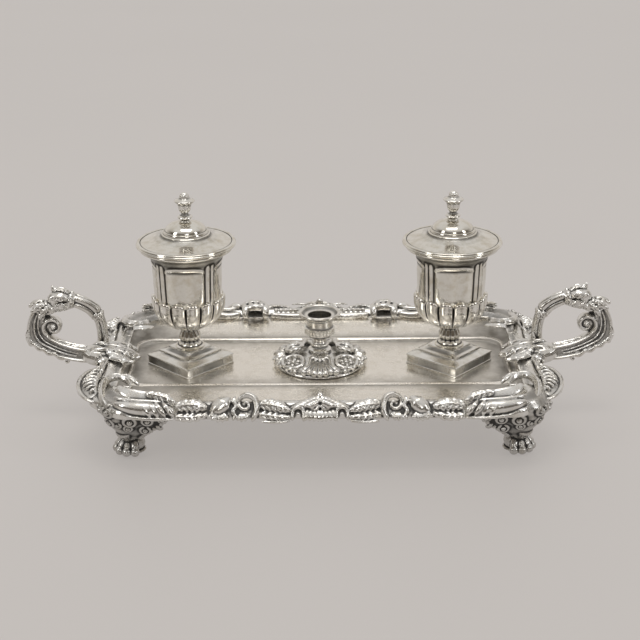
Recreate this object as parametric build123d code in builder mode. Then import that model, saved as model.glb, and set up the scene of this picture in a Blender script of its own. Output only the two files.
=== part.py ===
from build123d import *
from math import cos, pi, radians, sin
import os

# Double inkstand: an oblong footed tray with a cast border and two loop handles,
# a covered urn inkwell with a glass liner at each end and a small candle holder
# (taperstick) for melting sealing wax in the middle.
# Millimetres. X runs along the tray, Y from front to back, Z up.
# The origin is on the table, under the middle of the tray.

# ---- driving dimensions ----------------------------------------------------
FLOOR_Z = 35.0            # top of the tray's flat floor above the table
SHEET = 1.6               # thickness of the tray sheet
FLOOR_HALF_X = 121.0      # flat floor, half length
FLOOR_HALF_Y = 35.6       # flat floor, half width
FLANGE_HALF_X = 130.0     # sloping flange, outer edge
FLANGE_HALF_Y = 68.0
FLANGE_RISE = 3.9         # how far the flange climbs from the floor
RIM_HALF_X = 142.0        # edge of the sheet
RIM_HALF_Y = 84.0
RIM_CORNER = 24.0         # corner radius at the edge of the sheet
FLOOR_CORNER = 12.0
FLANGE_CORNER = 18.0

BORDER_END_X = 88.0       # front and back borders meet the corner castings here
BORDER_END_Y = 38.0       # end borders meet the corner castings here
BORDER_OVERHANG = 5.6     # how far the border stands outside the sheet
BORDER_DROP = 5.0         # how far the border hangs below the floor's level
RIDGE_RISE = 7.8          # top of the border's ridge above the floor

FOOT_X = 118.0            # centre of the paw's pad
FOOT_Y = 58.5
FOOT_DIRECTION = 42.0     # degrees, the way the toes point from the X axis
SOLE_R = 5.0
TOE_R = 3.6
TOE_COUNT = 5
TOE_REACH = 7.0           # from the pad's centre to a toe's centre
TOE_SPREAD = 32.0         # degrees between toes

DIAGONAL = (1, 1, 0)      # the plinths stand corner to the front
URN_X = 85.0              # the wells' axes
PLINTH_SIDE = 40.2
PLINTH_WALL = 6.9         # upright part of the plinth's side
PLINTH_TOP = 11.8
STEM_FOOT_R = 12.0
STEM_TOP = 26.5
CALYX_R = 22.3            # plain cup of the lobed calyx, without its lobes
CALYX_TOP = 49.0
CUP_BOTTOM = 36.0         # underside of the plain cup inside the calyx
CUP_INSIDE = 47.0         # floor of the space for the liner
CUP_R = 21.5
CUP_LEVEL = 44.0          # widest level of the lobed cup
LIP_R = 30.0
LIP_Z = 82.0
LINER_R = 19.5
LINER_WALL = 2.2
LINER_FLANGE_R = 22.5
SEAT_DEPTH = 2.0          # recess in the lip that takes the liner's flange
SLIDE_CLEARANCE = 0.1     # liner and nozzle in their sockets, on the radius
LOBE_COUNT = 14
LOBE_R = 4.7
REED_R = 0.7              # raised reeds that frame the cup's four panels
REED_LENGTH = 19.0
REED_SPREAD = 4.5         # degrees from the middle of a pair to a reed

LID_R = 31.8
LID_Z = 82.4              # underside of the lid's flange
DOME_TOP = 98.4
FINIAL_TOP = 117.0
LID_WALL = 1.6
SKIRT_R = 17.0            # locating ring under the lid, inside the liner
SKIRT_DEPTH = 4.4
SCREW_R = 1.5             # finial's screw and its nut inside the dome
SCREW_LENGTH = 5.6
FINIAL_NUT = 2.4          # height of that nut

ROD_R = 2.0               # tie rod that clamps a well to the tray
FIT = 0.02                # clearance of assembled, non-moving fits
ROD_LENGTH = 50.0
ROD_BELOW = 7.5           # from the tray's floor down to the rod's lower end
NUT_FLATS = 8.0
NUT = 3.2                 # height
WASHER_R = 6.5
WASHER = 1.0              # thickness

STICK_BASE_R = 31.5
STICK_BASE_TOP = 10.4
SOCKET_R = 9.0
SOCKET_BOTTOM = 17.0
SOCKET_TOP = 32.0
CANDLE_R = 7.6            # bore for the candle
NOZZLE_WALL = 0.6
NOZZLE_FLANGE_R = 13.0
NOZZLE_TOP = 35.2
NOZZLE_FLOOR = 21.0

HANDLE_HALF_THICK = 4.0   # handle section, in the plane of the loop
HANDLE_HALF_WIDE = 4.8    # handle section, across the loop
HANDLE_BEND = 6.0
# Centre line of a handle's loop as distance from the tray's middle and height
# above the floor: up the inner leg, over the top, round and back underneath.
HANDLE_LINE = [
    (143.0, 6.5),
    (142.6, 30.0),
    (149.0, 39.5),
    (161.0, 46.0),
    (173.0, 44.5),
    (182.0, 36.5),
    (187.0, 25.0),
    (181.0, 14.5),
    (166.0, 10.2),
    (150.0, 7.5),
]

SIDES = [("left", -1), ("right", 1)]
ENDS = [("front", -1), ("back", 1)]

os.makedirs("parts", exist_ok=True)


# ---- helpers ---------------------------------------------------------------
def upright_plane(x, turn=0.0):
    """Plane of a turned profile: local x is the radius, local y the height above the floor."""
    return Plane(
        origin=(x, 0, FLOOR_Z),
        x_dir=(cos(turn), sin(turn), 0),
        z_dir=(sin(turn), -cos(turn), 0),
    )


def upright_axis(x, y=0.0):
    return Axis((x, y, 0), (0, 0, 1))


def to_corner(piece, sx, sy):
    """Copy of a piece made for the back right corner, mirrored to another corner."""
    if sx < 0:
        piece = mirror(piece, about=Plane.YZ, mode=Mode.PRIVATE)
    if sy < 0:
        piece = mirror(piece, about=Plane.XZ, mode=Mode.PRIVATE)
    return piece


def at_floor(height):
    return Plane.XY.offset(FLOOR_Z + height)


def ellipsoid(half_x, half_y, half_z):
    return scale(Solid.make_sphere(1.0), by=(half_x, half_y, half_z), mode=Mode.PRIVATE)


def border_outline(up):
    """Section of the border: local x points out of the tray, local y is height times up.

    x is measured from the middle of the sheet's flat rim.
    """
    rim_mid = (RIM_HALF_Y + FLANGE_HALF_Y) / 2
    edge = RIM_HALF_Y - rim_mid
    inner = FLANGE_HALF_Y - rim_mid
    outer = edge + BORDER_OVERHANG
    with BuildLine() as outline:
        Polyline(
            (outer - 1.0, -BORDER_DROP * up),
            (edge, -BORDER_DROP * 0.5 * up),
            (edge, FLANGE_RISE * up),
            (inner, FLANGE_RISE * up),
            (inner, (FLANGE_RISE + 0.8) * up),
        )
        ThreePointArc(
            (inner, (FLANGE_RISE + 0.8) * up),
            (edge - 4.5, RIDGE_RISE * up),
            (edge + 1.5, (RIDGE_RISE - 1.6) * up),
        )
        ThreePointArc(
            (edge + 1.5, (RIDGE_RISE - 1.6) * up),
            (outer, 0.5 * up),
            (outer - 1.0, -BORDER_DROP * up),
        )
    return outline.line


# ---- tray ------------------------------------------------------------------
def tray_hollow(lower):
    """Space over the floor and the sloping flange, moved down by the given depth."""
    with BuildPart() as hollow:
        with BuildSketch(at_floor(-lower)):
            RectangleRounded(2 * FLOOR_HALF_X, 2 * FLOOR_HALF_Y, FLOOR_CORNER)
        with BuildSketch(at_floor(FLANGE_RISE - lower)):
            RectangleRounded(2 * FLANGE_HALF_X, 2 * FLANGE_HALF_Y, FLANGE_CORNER)
        loft()
    return hollow.part


with BuildPart() as tray_blank:
    add(tray_hollow(SHEET))
    with BuildSketch(at_floor(FLANGE_RISE - SHEET)):
        RectangleRounded(2 * RIM_HALF_X, 2 * RIM_HALF_Y, RIM_CORNER)
    extrude(amount=SHEET)

with BuildPart() as under_rim:
    with BuildSketch(at_floor(FLANGE_RISE)):
        RectangleRounded(2 * RIM_HALF_X, 2 * RIM_HALF_Y, RIM_CORNER)
    extrude(amount=-20.0)

with BuildPart() as tray_pan:
    add(tray_blank.part)
    add(tray_hollow(0), mode=Mode.SUBTRACT)
    with Locations((-URN_X, 0, FLOOR_Z), (URN_X, 0, FLOOR_Z)):
        Hole(ROD_R + FIT, depth=2 * SHEET)
tray_pan.part.label = "tray_pan"
export_step(tray_pan.part, "parts/tray_pan.step")


# ---- border ----------------------------------------------------------------
# Raised motifs along a long border: x, half length, half width.
SHELLS = [
    (0.0, 13.0, 7.0),
    (57.0, 9.5, 6.5),
    (-57.0, 9.5, 6.5),
]
LEAVES = [
    (26.0, 9.5, 4.5),
    (-26.0, 9.5, 4.5),
    (77.0, 9.5, 4.5),
    (-77.0, 9.5, 4.5),
]
END_LEAF_Y = 25.0         # leaves on an end border, either side of the handle
RIM_MID_Y = (RIM_HALF_Y + FLANGE_HALF_Y) / 2
RIM_MID_X = RIM_HALF_X - (RIM_HALF_Y - RIM_MID_Y)
MOTIF_RISE = 11.5         # top of the shells above the floor

long_borders = {}
for end, sy in ENDS:
    with BuildPart() as border:
        start = Plane(
            origin=(-BORDER_END_X * sy, sy * RIM_MID_Y, FLOOR_Z),
            x_dir=(0, sy, 0),
            z_dir=(sy, 0, 0),
        )
        with BuildSketch(start):
            add(border_outline(1))
            make_face()
        extrude(amount=2 * BORDER_END_X)
        for x, half_long, half_wide in SHELLS:
            with Locations((x, sy * (RIM_MID_Y + 2.5), FLOOR_Z + FLANGE_RISE)):
                add(ellipsoid(half_long, half_wide, MOTIF_RISE - FLANGE_RISE))
        for x, half_long, half_wide in LEAVES:
            with Locations((x, sy * (RIM_MID_Y + 3.0), FLOOR_Z + FLANGE_RISE + 1.0)):
                add(ellipsoid(half_long, half_wide, 5.0))
        add(under_rim.part, mode=Mode.SUBTRACT)
    long_borders[end] = border.part
    border.part.label = f"border_{end}"
    export_step(border.part, f"parts/border_{end}.step")

end_borders = {}
for side, sx in SIDES:
    with BuildPart() as border:
        start = Plane(
            origin=(sx * RIM_MID_X, BORDER_END_Y * sx, FLOOR_Z),
            x_dir=(sx, 0, 0),
            z_dir=(0, -sx, 0),
        )
        with BuildSketch(start):
            add(border_outline(1))
            make_face()
        extrude(amount=2 * BORDER_END_Y)
        for y in (-END_LEAF_Y, END_LEAF_Y):
            with Locations((sx * (RIM_MID_X + 3.0), y, FLOOR_Z + FLANGE_RISE)):
                add(ellipsoid(6.0, 9.0, 6.0))
        add(under_rim.part, mode=Mode.SUBTRACT)
    end_borders[side] = border.part
    border.part.label = f"border_{side}"
    export_step(border.part, f"parts/border_{side}.step")


# ---- corner castings and paw feet ------------------------------------------
CORNER_PATH_R = RIM_CORNER - (RIM_HALF_Y - RIM_MID_Y)
SCROLL_X = 131.0          # middle of the C-scroll at a corner
SCROLL_Y = 57.0
SCROLL_R = 12.5
SCROLL_TUBE = 3.0
WING_X = 144.0            # shell that bulges out beside the scroll
WING_Y = 54.0
BLADE_X = 108.0           # horn-shaped leaf along the front or back, next to the scroll
BRACKET_CORNER_X = 134.0  # outer corner of a foot's bracket
BRACKET_CORNER_Y = 80.0
ANKLE_X = 119.0           # where the ankle leaves the bracket
ANKLE_Y = 65.0
PAW_Z = 6.0               # middle of the paw above the table

with BuildLine() as corner_rail:
    bend_x = RIM_MID_X - CORNER_PATH_R
    bend_y = RIM_MID_Y - CORNER_PATH_R
    Line((BORDER_END_X, RIM_MID_Y, FLOOR_Z), (bend_x, RIM_MID_Y, FLOOR_Z))
    JernArc((bend_x, RIM_MID_Y, FLOOR_Z), (1, 0, 0), CORNER_PATH_R, -90)
    Line((RIM_MID_X, bend_y, FLOOR_Z), (RIM_MID_X, BORDER_END_Y, FLOOR_Z))

with BuildPart() as corner_master:
    with BuildSketch(Plane(origin=corner_rail.line @ 0, x_dir=(0, 1, 0), z_dir=(1, 0, 0))):
        add(border_outline(1))
        make_face()
    sweep(path=corner_rail.line)
    ring = Plane(origin=(SCROLL_X + SCROLL_R, SCROLL_Y, FLOOR_Z + 7.0), z_dir=(0, 1, 0))
    with BuildSketch(ring):
        Circle(SCROLL_TUBE)
    revolve(axis=upright_axis(SCROLL_X, SCROLL_Y))
    with Locations((WING_X, WING_Y, FLOOR_Z + FLANGE_RISE + 0.5)):
        add(ellipsoid(9.0, 13.0, 5.5))
    with Locations((BLADE_X, RIM_MID_Y + 5.5, FLOOR_Z + 2.5)):
        add(ellipsoid(19.0, 6.5, 6.0))
    add(under_rim.part, mode=Mode.SUBTRACT)
    add(long_borders["back"], mode=Mode.SUBTRACT)
    add(end_borders["right"], mode=Mode.SUBTRACT)


def foot_section(height, reach, shift):
    """One level of the foot's bracket: a rounded triangle that fills the tray's corner."""
    corner_x = BRACKET_CORNER_X - shift
    corner_y = BRACKET_CORNER_Y - shift
    with BuildSketch(Plane.XY.offset(height)) as section:
        with BuildLine():
            Polyline(
                (corner_x, corner_y),
                (corner_x - reach, corner_y),
                (corner_x, corner_y - reach),
                close=True,
            )
        make_face()
        fillet(section.vertices(), radius=reach * 0.09)
    return section.sketch


flange_underside = Plane(
    origin=(0, FLOOR_HALF_Y, FLOOR_Z - SHEET),
    x_dir=(1, 0, 0),
    z_dir=(0, -FLANGE_RISE, FLANGE_HALF_Y - FLOOR_HALF_Y),
)

with BuildPart() as foot_bracket:
    levels = [
        foot_section(FLOOR_Z + 1.0, 48.0, 0.0),
        foot_section(FLOOR_Z - 9.0, 36.0, 4.0),
        foot_section(FLOOR_Z - 17.0, 20.0, 9.5),
    ]
    loft(sections=levels, ruled=True)
    split(bisect_by=flange_underside, keep=Keep.BOTTOM)

with BuildPart() as foot_ankle:
    with BuildSketch(Plane.XY.offset(FLOOR_Z - 16.0)):
        with Locations((ANKLE_X, ANKLE_Y)):
            Circle(8.5)
    with BuildSketch(Plane.XY.offset(10.0)):
        with Locations((FOOT_X, FOOT_Y)):
            Circle(6.0)
    loft()

with BuildPart() as foot_paw:
    with BuildSketch():
        with Locations((FOOT_X, FOOT_Y)):
            Circle(SOLE_R)
    extrude(amount=4.0)
    with Locations((FOOT_X, FOOT_Y, PAW_Z)):
        Sphere(7.0)
    for toe in range(TOE_COUNT):
        aim = FOOT_DIRECTION + (toe - (TOE_COUNT - 1) / 2) * TOE_SPREAD
        toe_x = FOOT_X + TOE_REACH * cos(radians(aim))
        toe_y = FOOT_Y + TOE_REACH * sin(radians(aim))
        with Locations(Location((toe_x, toe_y, TOE_R - 0.3), (0, 0, aim + 180))):
            Sphere(TOE_R)
    split(bisect_by=Plane.XY, keep=Keep.TOP)

with BuildPart() as foot_master:
    add(foot_bracket.part)
    add(foot_ankle.part)
    add(foot_paw.part)

for end, sy in ENDS:
    for side, sx in SIDES:
        with BuildPart() as corner_scroll:
            add(to_corner(corner_master.part, sx, sy))
        name = f"corner_scroll_{end}_{side}"
        corner_scroll.part.label = name
        export_step(corner_scroll.part, f"parts/{name}.step")

        with BuildPart() as foot:
            add(to_corner(foot_master.part, sx, sy))
        name = f"foot_{end}_{side}"
        foot.part.label = name
        export_step(foot.part, f"parts/{name}.step")


# ---- handles ---------------------------------------------------------------
HANDLE_COLLARS = [(142.7, 33.0, 5.0), (159.5, 45.2, 5.6)]     # x, height, radius
VOLUTE_X = 174.0
VOLUTE_Z = 27.5
VOLUTE_R = 5.5
TOP_LEAF_X = 171.0
TOP_LEAF_Z = 46.0
OUTER_LEAF_X = 181.5
OUTER_LEAF_Z = 27.0

for side, sx in SIDES:
    with BuildPart() as handle:
        with BuildLine(Plane(origin=(0, 0, FLOOR_Z), x_dir=(1, 0, 0), z_dir=(0, -1, 0))) as loop:
            FilletPolyline(*[(sx * x, height) for x, height in HANDLE_LINE], radius=HANDLE_BEND)
        with BuildSketch(Plane(origin=loop.line @ 0, x_dir=(1, 0, 0), z_dir=loop.line % 0)):
            Ellipse(HANDLE_HALF_THICK, HANDLE_HALF_WIDE)
        sweep(path=loop.line)
        for x, height, radius in HANDLE_COLLARS:
            with Locations((sx * x, 0, FLOOR_Z + height)):
                Sphere(radius)
        with Locations((sx * TOP_LEAF_X, 0, FLOOR_Z + TOP_LEAF_Z)):
            Sphere(6.4)
        with Locations((sx * (TOP_LEAF_X + 1.5), 0, FLOOR_Z + TOP_LEAF_Z + 5.5)):
            Cone(4.0, 0.8, 7.0)
        with Locations(Location((sx * VOLUTE_X, 0, FLOOR_Z + VOLUTE_Z), (90, 0, 0))):
            Cylinder(VOLUTE_R, 2 * HANDLE_HALF_WIDE)
        with Locations((sx * OUTER_LEAF_X, 0, FLOOR_Z + OUTER_LEAF_Z)):
            Box(6.0, 1.2 * HANDLE_HALF_WIDE, 7.0)
        add(under_rim.part, mode=Mode.SUBTRACT)
        add(end_borders[side], mode=Mode.SUBTRACT)
    handle.part.label = f"handle_{side}"
    export_step(handle.part, f"parts/handle_{side}.step")

    if side == "right":
        right_handle = handle.part

with BuildPart() as leaf_master:
    with BuildSketch(at_floor(FLANGE_RISE)):
        with BuildLine():
            ThreePointArc((121.5, 0), (134.0, -12.5), (150.0, -7.0))
            ThreePointArc((150.0, -7.0), (153.0, 0), (150.0, 7.0))
            ThreePointArc((150.0, 7.0), (134.0, 12.5), (121.5, 0))
        make_face()
    extrude(amount=6.5, taper=28)
    with Locations((146.0, 0, FLOOR_Z + 7.0)):
        add(ellipsoid(8.0, 9.0, 7.0))
    add(under_rim.part, mode=Mode.SUBTRACT)
    add(end_borders["right"], mode=Mode.SUBTRACT)
    add(right_handle, mode=Mode.SUBTRACT)

for side, sx in SIDES:
    with BuildPart() as handle_leaf:
        add(to_corner(leaf_master.part, sx, 1))
    handle_leaf.part.label = f"handle_leaf_{side}"
    export_step(handle_leaf.part, f"parts/handle_leaf_{side}.step")


# ---- urn wells -------------------------------------------------------------
def cup_underside():
    """Round bottom of the cup inside the lobed calyx, from the axis out to the wall."""
    with BuildLine() as underside:
        Line((0, CUP_BOTTOM), (8.0, CUP_BOTTOM))
        ThreePointArc((8.0, CUP_BOTTOM), (17.5, 40.0), (CUP_R, CALYX_TOP))
    return underside.line


for side, sx in SIDES:
    x = sx * URN_X
    plane = upright_plane(x)
    axis = upright_axis(x)
    rod_bore = ROD_R + FIT

    with BuildPart() as urn_plinth:
        with BuildSketch(Plane(origin=(x, 0, FLOOR_Z), x_dir=DIAGONAL, z_dir=(0, 0, 1))):
            Rectangle(PLINTH_SIDE, PLINTH_SIDE)
        extrude(amount=PLINTH_WALL)
        top = urn_plinth.faces().sort_by(Axis.Z)[-1]
        for edge_side, rise in ((0.95, 1.6), (0.66, PLINTH_TOP - PLINTH_WALL - 1.6)):
            with BuildSketch(Plane(origin=(x, 0, top.center().Z), x_dir=DIAGONAL, z_dir=(0, 0, 1))):
                Rectangle(edge_side * PLINTH_SIDE, edge_side * PLINTH_SIDE)
            extrude(amount=rise, taper=35)
            top = urn_plinth.faces().sort_by(Axis.Z)[-1]
        with Locations((x, 0, FLOOR_Z + PLINTH_TOP)):
            Hole(ROD_R + FIT, depth=PLINTH_TOP)
    urn_plinth.part.label = f"urn_plinth_{side}"
    export_step(urn_plinth.part, f"parts/urn_plinth_{side}.step")

    with BuildPart() as urn_stem:
        with BuildSketch(plane):
            with BuildLine():
                Polyline(
                    (7.5, STEM_TOP),
                    (rod_bore, STEM_TOP),
                    (rod_bore, PLINTH_TOP),
                    (STEM_FOOT_R, PLINTH_TOP),
                    (STEM_FOOT_R + 0.7, PLINTH_TOP + 0.7),
                    (STEM_FOOT_R, PLINTH_TOP + 1.6),
                )
                ThreePointArc((STEM_FOOT_R, PLINTH_TOP + 1.6), (7.2, 14.6), (5.4, 18.2))
                ThreePointArc((5.4, 18.2), (6.9, 19.3), (5.4, 20.4))
                ThreePointArc((5.4, 20.4), (5.0, 23.0), (7.5, STEM_TOP))
            make_face()
        revolve(axis=axis)
    urn_stem.part.label = f"urn_stem_{side}"
    export_step(urn_stem.part, f"parts/urn_stem_{side}.step")

    with BuildPart() as urn_calyx:
        with BuildSketch(plane):
            with BuildLine():
                Polyline((0, STEM_TOP), (8.4, STEM_TOP))
                ThreePointArc((8.4, STEM_TOP), (18.0, 32.5), (CALYX_R, CUP_LEVEL))
                Polyline((CALYX_R, CUP_LEVEL), (CALYX_R, CALYX_TOP), (0, CALYX_TOP), (0, STEM_TOP))
            make_face()
        revolve(axis=axis)
        for lobe in range(LOBE_COUNT):
            with BuildLine(upright_plane(x, 2 * pi * lobe / LOBE_COUNT)) as rib:
                ThreePointArc((6.5, STEM_TOP + 4.6), (15.2, 34.5), (19.0, 46.5))
            with BuildSketch(Plane(origin=rib.line @ 0, z_dir=rib.line % 0)):
                Circle(LOBE_R * 0.86)
            sweep(path=rib.line)
            with Locations(rib.line @ 1):
                Sphere(LOBE_R)
        with BuildSketch(plane):
            with BuildLine():
                add(cup_underside())
                Polyline((CUP_R, CALYX_TOP), (CUP_R, 60.0), (0, 60.0), (0, CUP_BOTTOM))
            make_face()
        revolve(axis=axis, mode=Mode.SUBTRACT)
        split(bisect_by=at_floor(STEM_TOP), keep=Keep.TOP)
        with Locations((x, 0, FLOOR_Z + CUP_BOTTOM + 1.0)):
            Hole(ROD_R + FIT, depth=20)
    urn_calyx.part.label = f"urn_calyx_{side}"
    export_step(urn_calyx.part, f"parts/urn_calyx_{side}.step")

    bore = LINER_R + SLIDE_CLEARANCE
    seat = LINER_FLANGE_R + SLIDE_CLEARANCE
    with BuildPart() as urn_body:
        with BuildSketch(plane):
            with BuildLine():
                add(cup_underside())
                Line((CUP_R, CALYX_TOP), (CUP_R, 70.0))
                ThreePointArc((CUP_R, 70.0), (23.4, 76.0), (LIP_R - 1.5, LIP_Z - 2.4))
                Polyline((LIP_R - 1.5, LIP_Z - 2.4), (LIP_R, LIP_Z - 1.6), (LIP_R, LIP_Z), (seat, LIP_Z))
                Polyline(
                    (seat, LIP_Z),
                    (seat, LIP_Z - SEAT_DEPTH),
                    (bore, LIP_Z - SEAT_DEPTH),
                    (bore, CUP_INSIDE),
                    (0, CUP_INSIDE),
                    (0, CUP_BOTTOM),
                )
            make_face()
        revolve(axis=axis)
        with Locations(Location((x, 0, FLOOR_Z + CUP_BOTTOM), (180, 0, 0))):
            Hole(ROD_R + FIT, depth=7.0)
        for quarter in range(4):
            for spread in (-REED_SPREAD, REED_SPREAD):
                turn = radians(45 + 90 * quarter + spread)
                with Locations((x + CUP_R * cos(turn), CUP_R * sin(turn), FLOOR_Z + 61.5)):
                    Cylinder(REED_R, REED_LENGTH)
        with BuildSketch(plane):
            with BuildLine():
                Polyline(
                    (0, CUP_INSIDE),
                    (bore, CUP_INSIDE),
                    (bore, LIP_Z - SEAT_DEPTH),
                    (0, LIP_Z - SEAT_DEPTH),
                    close=True,
                )
            make_face()
        revolve(axis=axis, mode=Mode.SUBTRACT)
    urn_body.part.label = f"urn_body_{side}"
    export_step(urn_body.part, f"parts/urn_body_{side}.step")

    with BuildPart() as urn_tie_rod:
        with BuildSketch(Plane.XY.offset(FLOOR_Z - ROD_BELOW)):
            with Locations((x, 0)):
                Circle(ROD_R)
        extrude(amount=ROD_LENGTH)
        chamfer(urn_tie_rod.edges().filter_by(GeomType.CIRCLE), length=0.4)
    urn_tie_rod.part.label = f"urn_tie_rod_{side}"
    export_step(urn_tie_rod.part, f"parts/urn_tie_rod_{side}.step")

    with BuildPart() as urn_washer:
        with BuildSketch(Plane.XY.offset(FLOOR_Z - SHEET - WASHER)):
            with Locations((x, 0)):
                Circle(WASHER_R)
                Circle(ROD_R + FIT, mode=Mode.SUBTRACT)
        extrude(amount=WASHER)
    urn_washer.part.label = f"urn_washer_{side}"
    export_step(urn_washer.part, f"parts/urn_washer_{side}.step")

    with BuildPart() as urn_nut:
        with BuildSketch(Plane.XY.offset(FLOOR_Z - SHEET - WASHER - NUT)):
            with Locations((x, 0)):
                RegularPolygon(NUT_FLATS / 2, 6, major_radius=False)
                Circle(ROD_R + FIT, mode=Mode.SUBTRACT)
        extrude(amount=NUT)
    urn_nut.part.label = f"urn_nut_{side}"
    export_step(urn_nut.part, f"parts/urn_nut_{side}.step")

    with BuildPart() as ink_liner:
        with BuildSketch(plane):
            with BuildLine():
                mouth = LINER_R - LINER_WALL
                Polyline((0, CUP_INSIDE), (LINER_R - 1.5, CUP_INSIDE))
                ThreePointArc((LINER_R - 1.5, CUP_INSIDE), (LINER_R - 0.44, 47.44), (LINER_R, 48.5))
                Polyline(
                    (LINER_R, 48.5),
                    (LINER_R, LIP_Z - SEAT_DEPTH),
                    (LINER_FLANGE_R, LIP_Z - SEAT_DEPTH),
                    (LINER_FLANGE_R, LIP_Z - 0.3),
                    (mouth, LIP_Z - 0.3),
                    (mouth, 53.0),
                )
                ThreePointArc((mouth, 53.0), (mouth - 1.0, 50.9), (mouth - 3.0, 50.0))
                Polyline((mouth - 3.0, 50.0), (0, 50.0), (0, CUP_INSIDE))
            make_face()
        revolve(axis=axis)
    ink_liner.part.label = f"ink_liner_{side}"
    export_step(ink_liner.part, f"parts/ink_liner_{side}.step")

    with BuildPart() as lid:
        with BuildSketch(plane):
            with BuildLine():
                Polyline(
                    (SKIRT_R, LID_Z),
                    (LID_R - 0.6, LID_Z),
                    (LID_R, LID_Z + 0.6),
                    (LID_R - 0.5, LID_Z + 1.2),
                )
                ThreePointArc((LID_R - 0.5, LID_Z + 1.2), (22.5, 86.3), (15.4, 89.4))
                Polyline((15.4, 89.4), (14.5, 90.3), (14.5, 91.6), (13.0, 92.4))
                ThreePointArc((13.0, 92.4), (10.0, 96.2), (3.6, DOME_TOP))
                Polyline(
                    (3.6, DOME_TOP),
                    (SCREW_R + FIT, DOME_TOP),
                    (SCREW_R + FIT, DOME_TOP - LID_WALL),
                    (3.4, DOME_TOP - LID_WALL),
                )
                ThreePointArc((3.4, DOME_TOP - LID_WALL), (9.0, 94.8), (11.6, 91.4))
                ThreePointArc((11.6, 91.4), (13.4, 87.6), (SKIRT_R - 1.2, 84.6))
                Polyline(
                    (SKIRT_R - 1.2, 84.6),
                    (SKIRT_R - 1.2, LID_Z - SKIRT_DEPTH),
                    (SKIRT_R, LID_Z - SKIRT_DEPTH),
                    (SKIRT_R, LID_Z),
                )
            make_face()
        revolve(axis=axis)
    lid.part.label = f"lid_{side}"
    export_step(lid.part, f"parts/lid_{side}.step")

    with BuildPart() as lid_finial:
        with BuildSketch(plane):
            with BuildLine():
                Polyline(
                    (0, DOME_TOP - SCREW_LENGTH),
                    (SCREW_R, DOME_TOP - SCREW_LENGTH),
                    (SCREW_R, DOME_TOP),
                    (4.0, DOME_TOP),
                    (4.0, 99.6),
                )
                ThreePointArc((4.0, 99.6), (2.2, 100.6), (1.7, 102.6))
                ThreePointArc((1.7, 102.6), (3.1, 103.4), (2.0, 104.6))
                ThreePointArc((2.0, 104.6), (4.6, 107.2), (5.2, 110.0))
                Polyline((5.2, 110.0), (6.1, 110.4), (6.1, 111.2), (4.6, 111.8))
                ThreePointArc((4.6, 111.8), (3.0, 113.2), (1.7, 113.8))
                ThreePointArc((1.7, 113.8), (2.6, 115.3), (1.6, FINIAL_TOP - 0.4))
                Polyline((1.6, FINIAL_TOP - 0.4), (0, FINIAL_TOP), (0, DOME_TOP - SCREW_LENGTH))
            make_face()
        revolve(axis=axis)
    lid_finial.part.label = f"lid_finial_{side}"
    export_step(lid_finial.part, f"parts/lid_finial_{side}.step")

    with BuildPart() as finial_nut:
        with BuildSketch(Plane.XY.offset(FLOOR_Z + DOME_TOP - LID_WALL - FINIAL_NUT)):
            with Locations((x, 0)):
                RegularPolygon(2.9, 6, major_radius=False)
                Circle(SCREW_R + FIT, mode=Mode.SUBTRACT)
        extrude(amount=FINIAL_NUT)
    finial_nut.part.label = f"finial_nut_{side}"
    export_step(finial_nut.part, f"parts/finial_nut_{side}.step")


# ---- taperstick ------------------------------------------------------------
centre = upright_plane(0.0)
centre_axis = upright_axis(0.0)
SPIGOT_R = 4.0            # peg on the tray that the taperstick stands over
SPIGOT_RISE = 3.0
BASE_LOBES = 12
BASE_LOBE_AT = 25.0       # lobes' distance from the axis

with BuildPart() as taperstick_spigot:
    with BuildSketch(at_floor(0)):
        Circle(SPIGOT_R)
    extrude(amount=SPIGOT_RISE)
    chamfer(taperstick_spigot.edges().sort_by(Axis.Z)[-1], length=0.6)
taperstick_spigot.part.label = "taperstick_spigot"
export_step(taperstick_spigot.part, "parts/taperstick_spigot.step")

with BuildPart() as taperstick_base:
    with BuildSketch(centre):
        with BuildLine():
            spigot_bore = SPIGOT_R + 0.05
            Polyline((spigot_bore, 0), (STICK_BASE_R - 0.6, 0), (STICK_BASE_R, 1.2))
            ThreePointArc((STICK_BASE_R, 1.2), (29.4, 4.6), (25.0, 5.4))
            ThreePointArc((25.0, 5.4), (16.0, 6.4), (10.0, STICK_BASE_TOP - 1.0))
            Polyline(
                (10.0, STICK_BASE_TOP - 1.0),
                (7.6, STICK_BASE_TOP),
                (0, STICK_BASE_TOP),
                (0, SPIGOT_RISE + 0.4),
                (spigot_bore, SPIGOT_RISE + 0.4),
                (spigot_bore, 0),
            )
        make_face()
    revolve(axis=centre_axis)
    for lobe in range(BASE_LOBES):
        turn = 2 * pi * lobe / BASE_LOBES
        with Locations((BASE_LOBE_AT * cos(turn), BASE_LOBE_AT * sin(turn), FLOOR_Z + 3.2)):
            add(ellipsoid(4.8, 4.8, 3.4))
    split(bisect_by=at_floor(0), keep=Keep.TOP)
taperstick_base.part.label = "taperstick_base"
export_step(taperstick_base.part, "parts/taperstick_base.step")

with BuildPart() as taperstick_stem:
    with BuildSketch(centre):
        with BuildLine():
            Polyline((0, STICK_BASE_TOP), (6.0, STICK_BASE_TOP))
            ThreePointArc((6.0, STICK_BASE_TOP), (4.3, 11.8), (4.6, 13.2))
            ThreePointArc((4.6, 13.2), (6.7, 14.4), (4.6, 15.6))
            Polyline((4.6, 15.6), (4.2, SOCKET_BOTTOM), (0, SOCKET_BOTTOM), (0, STICK_BASE_TOP))
        make_face()
    revolve(axis=centre_axis)
taperstick_stem.part.label = "taperstick_stem"
export_step(taperstick_stem.part, "parts/taperstick_stem.step")

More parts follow.
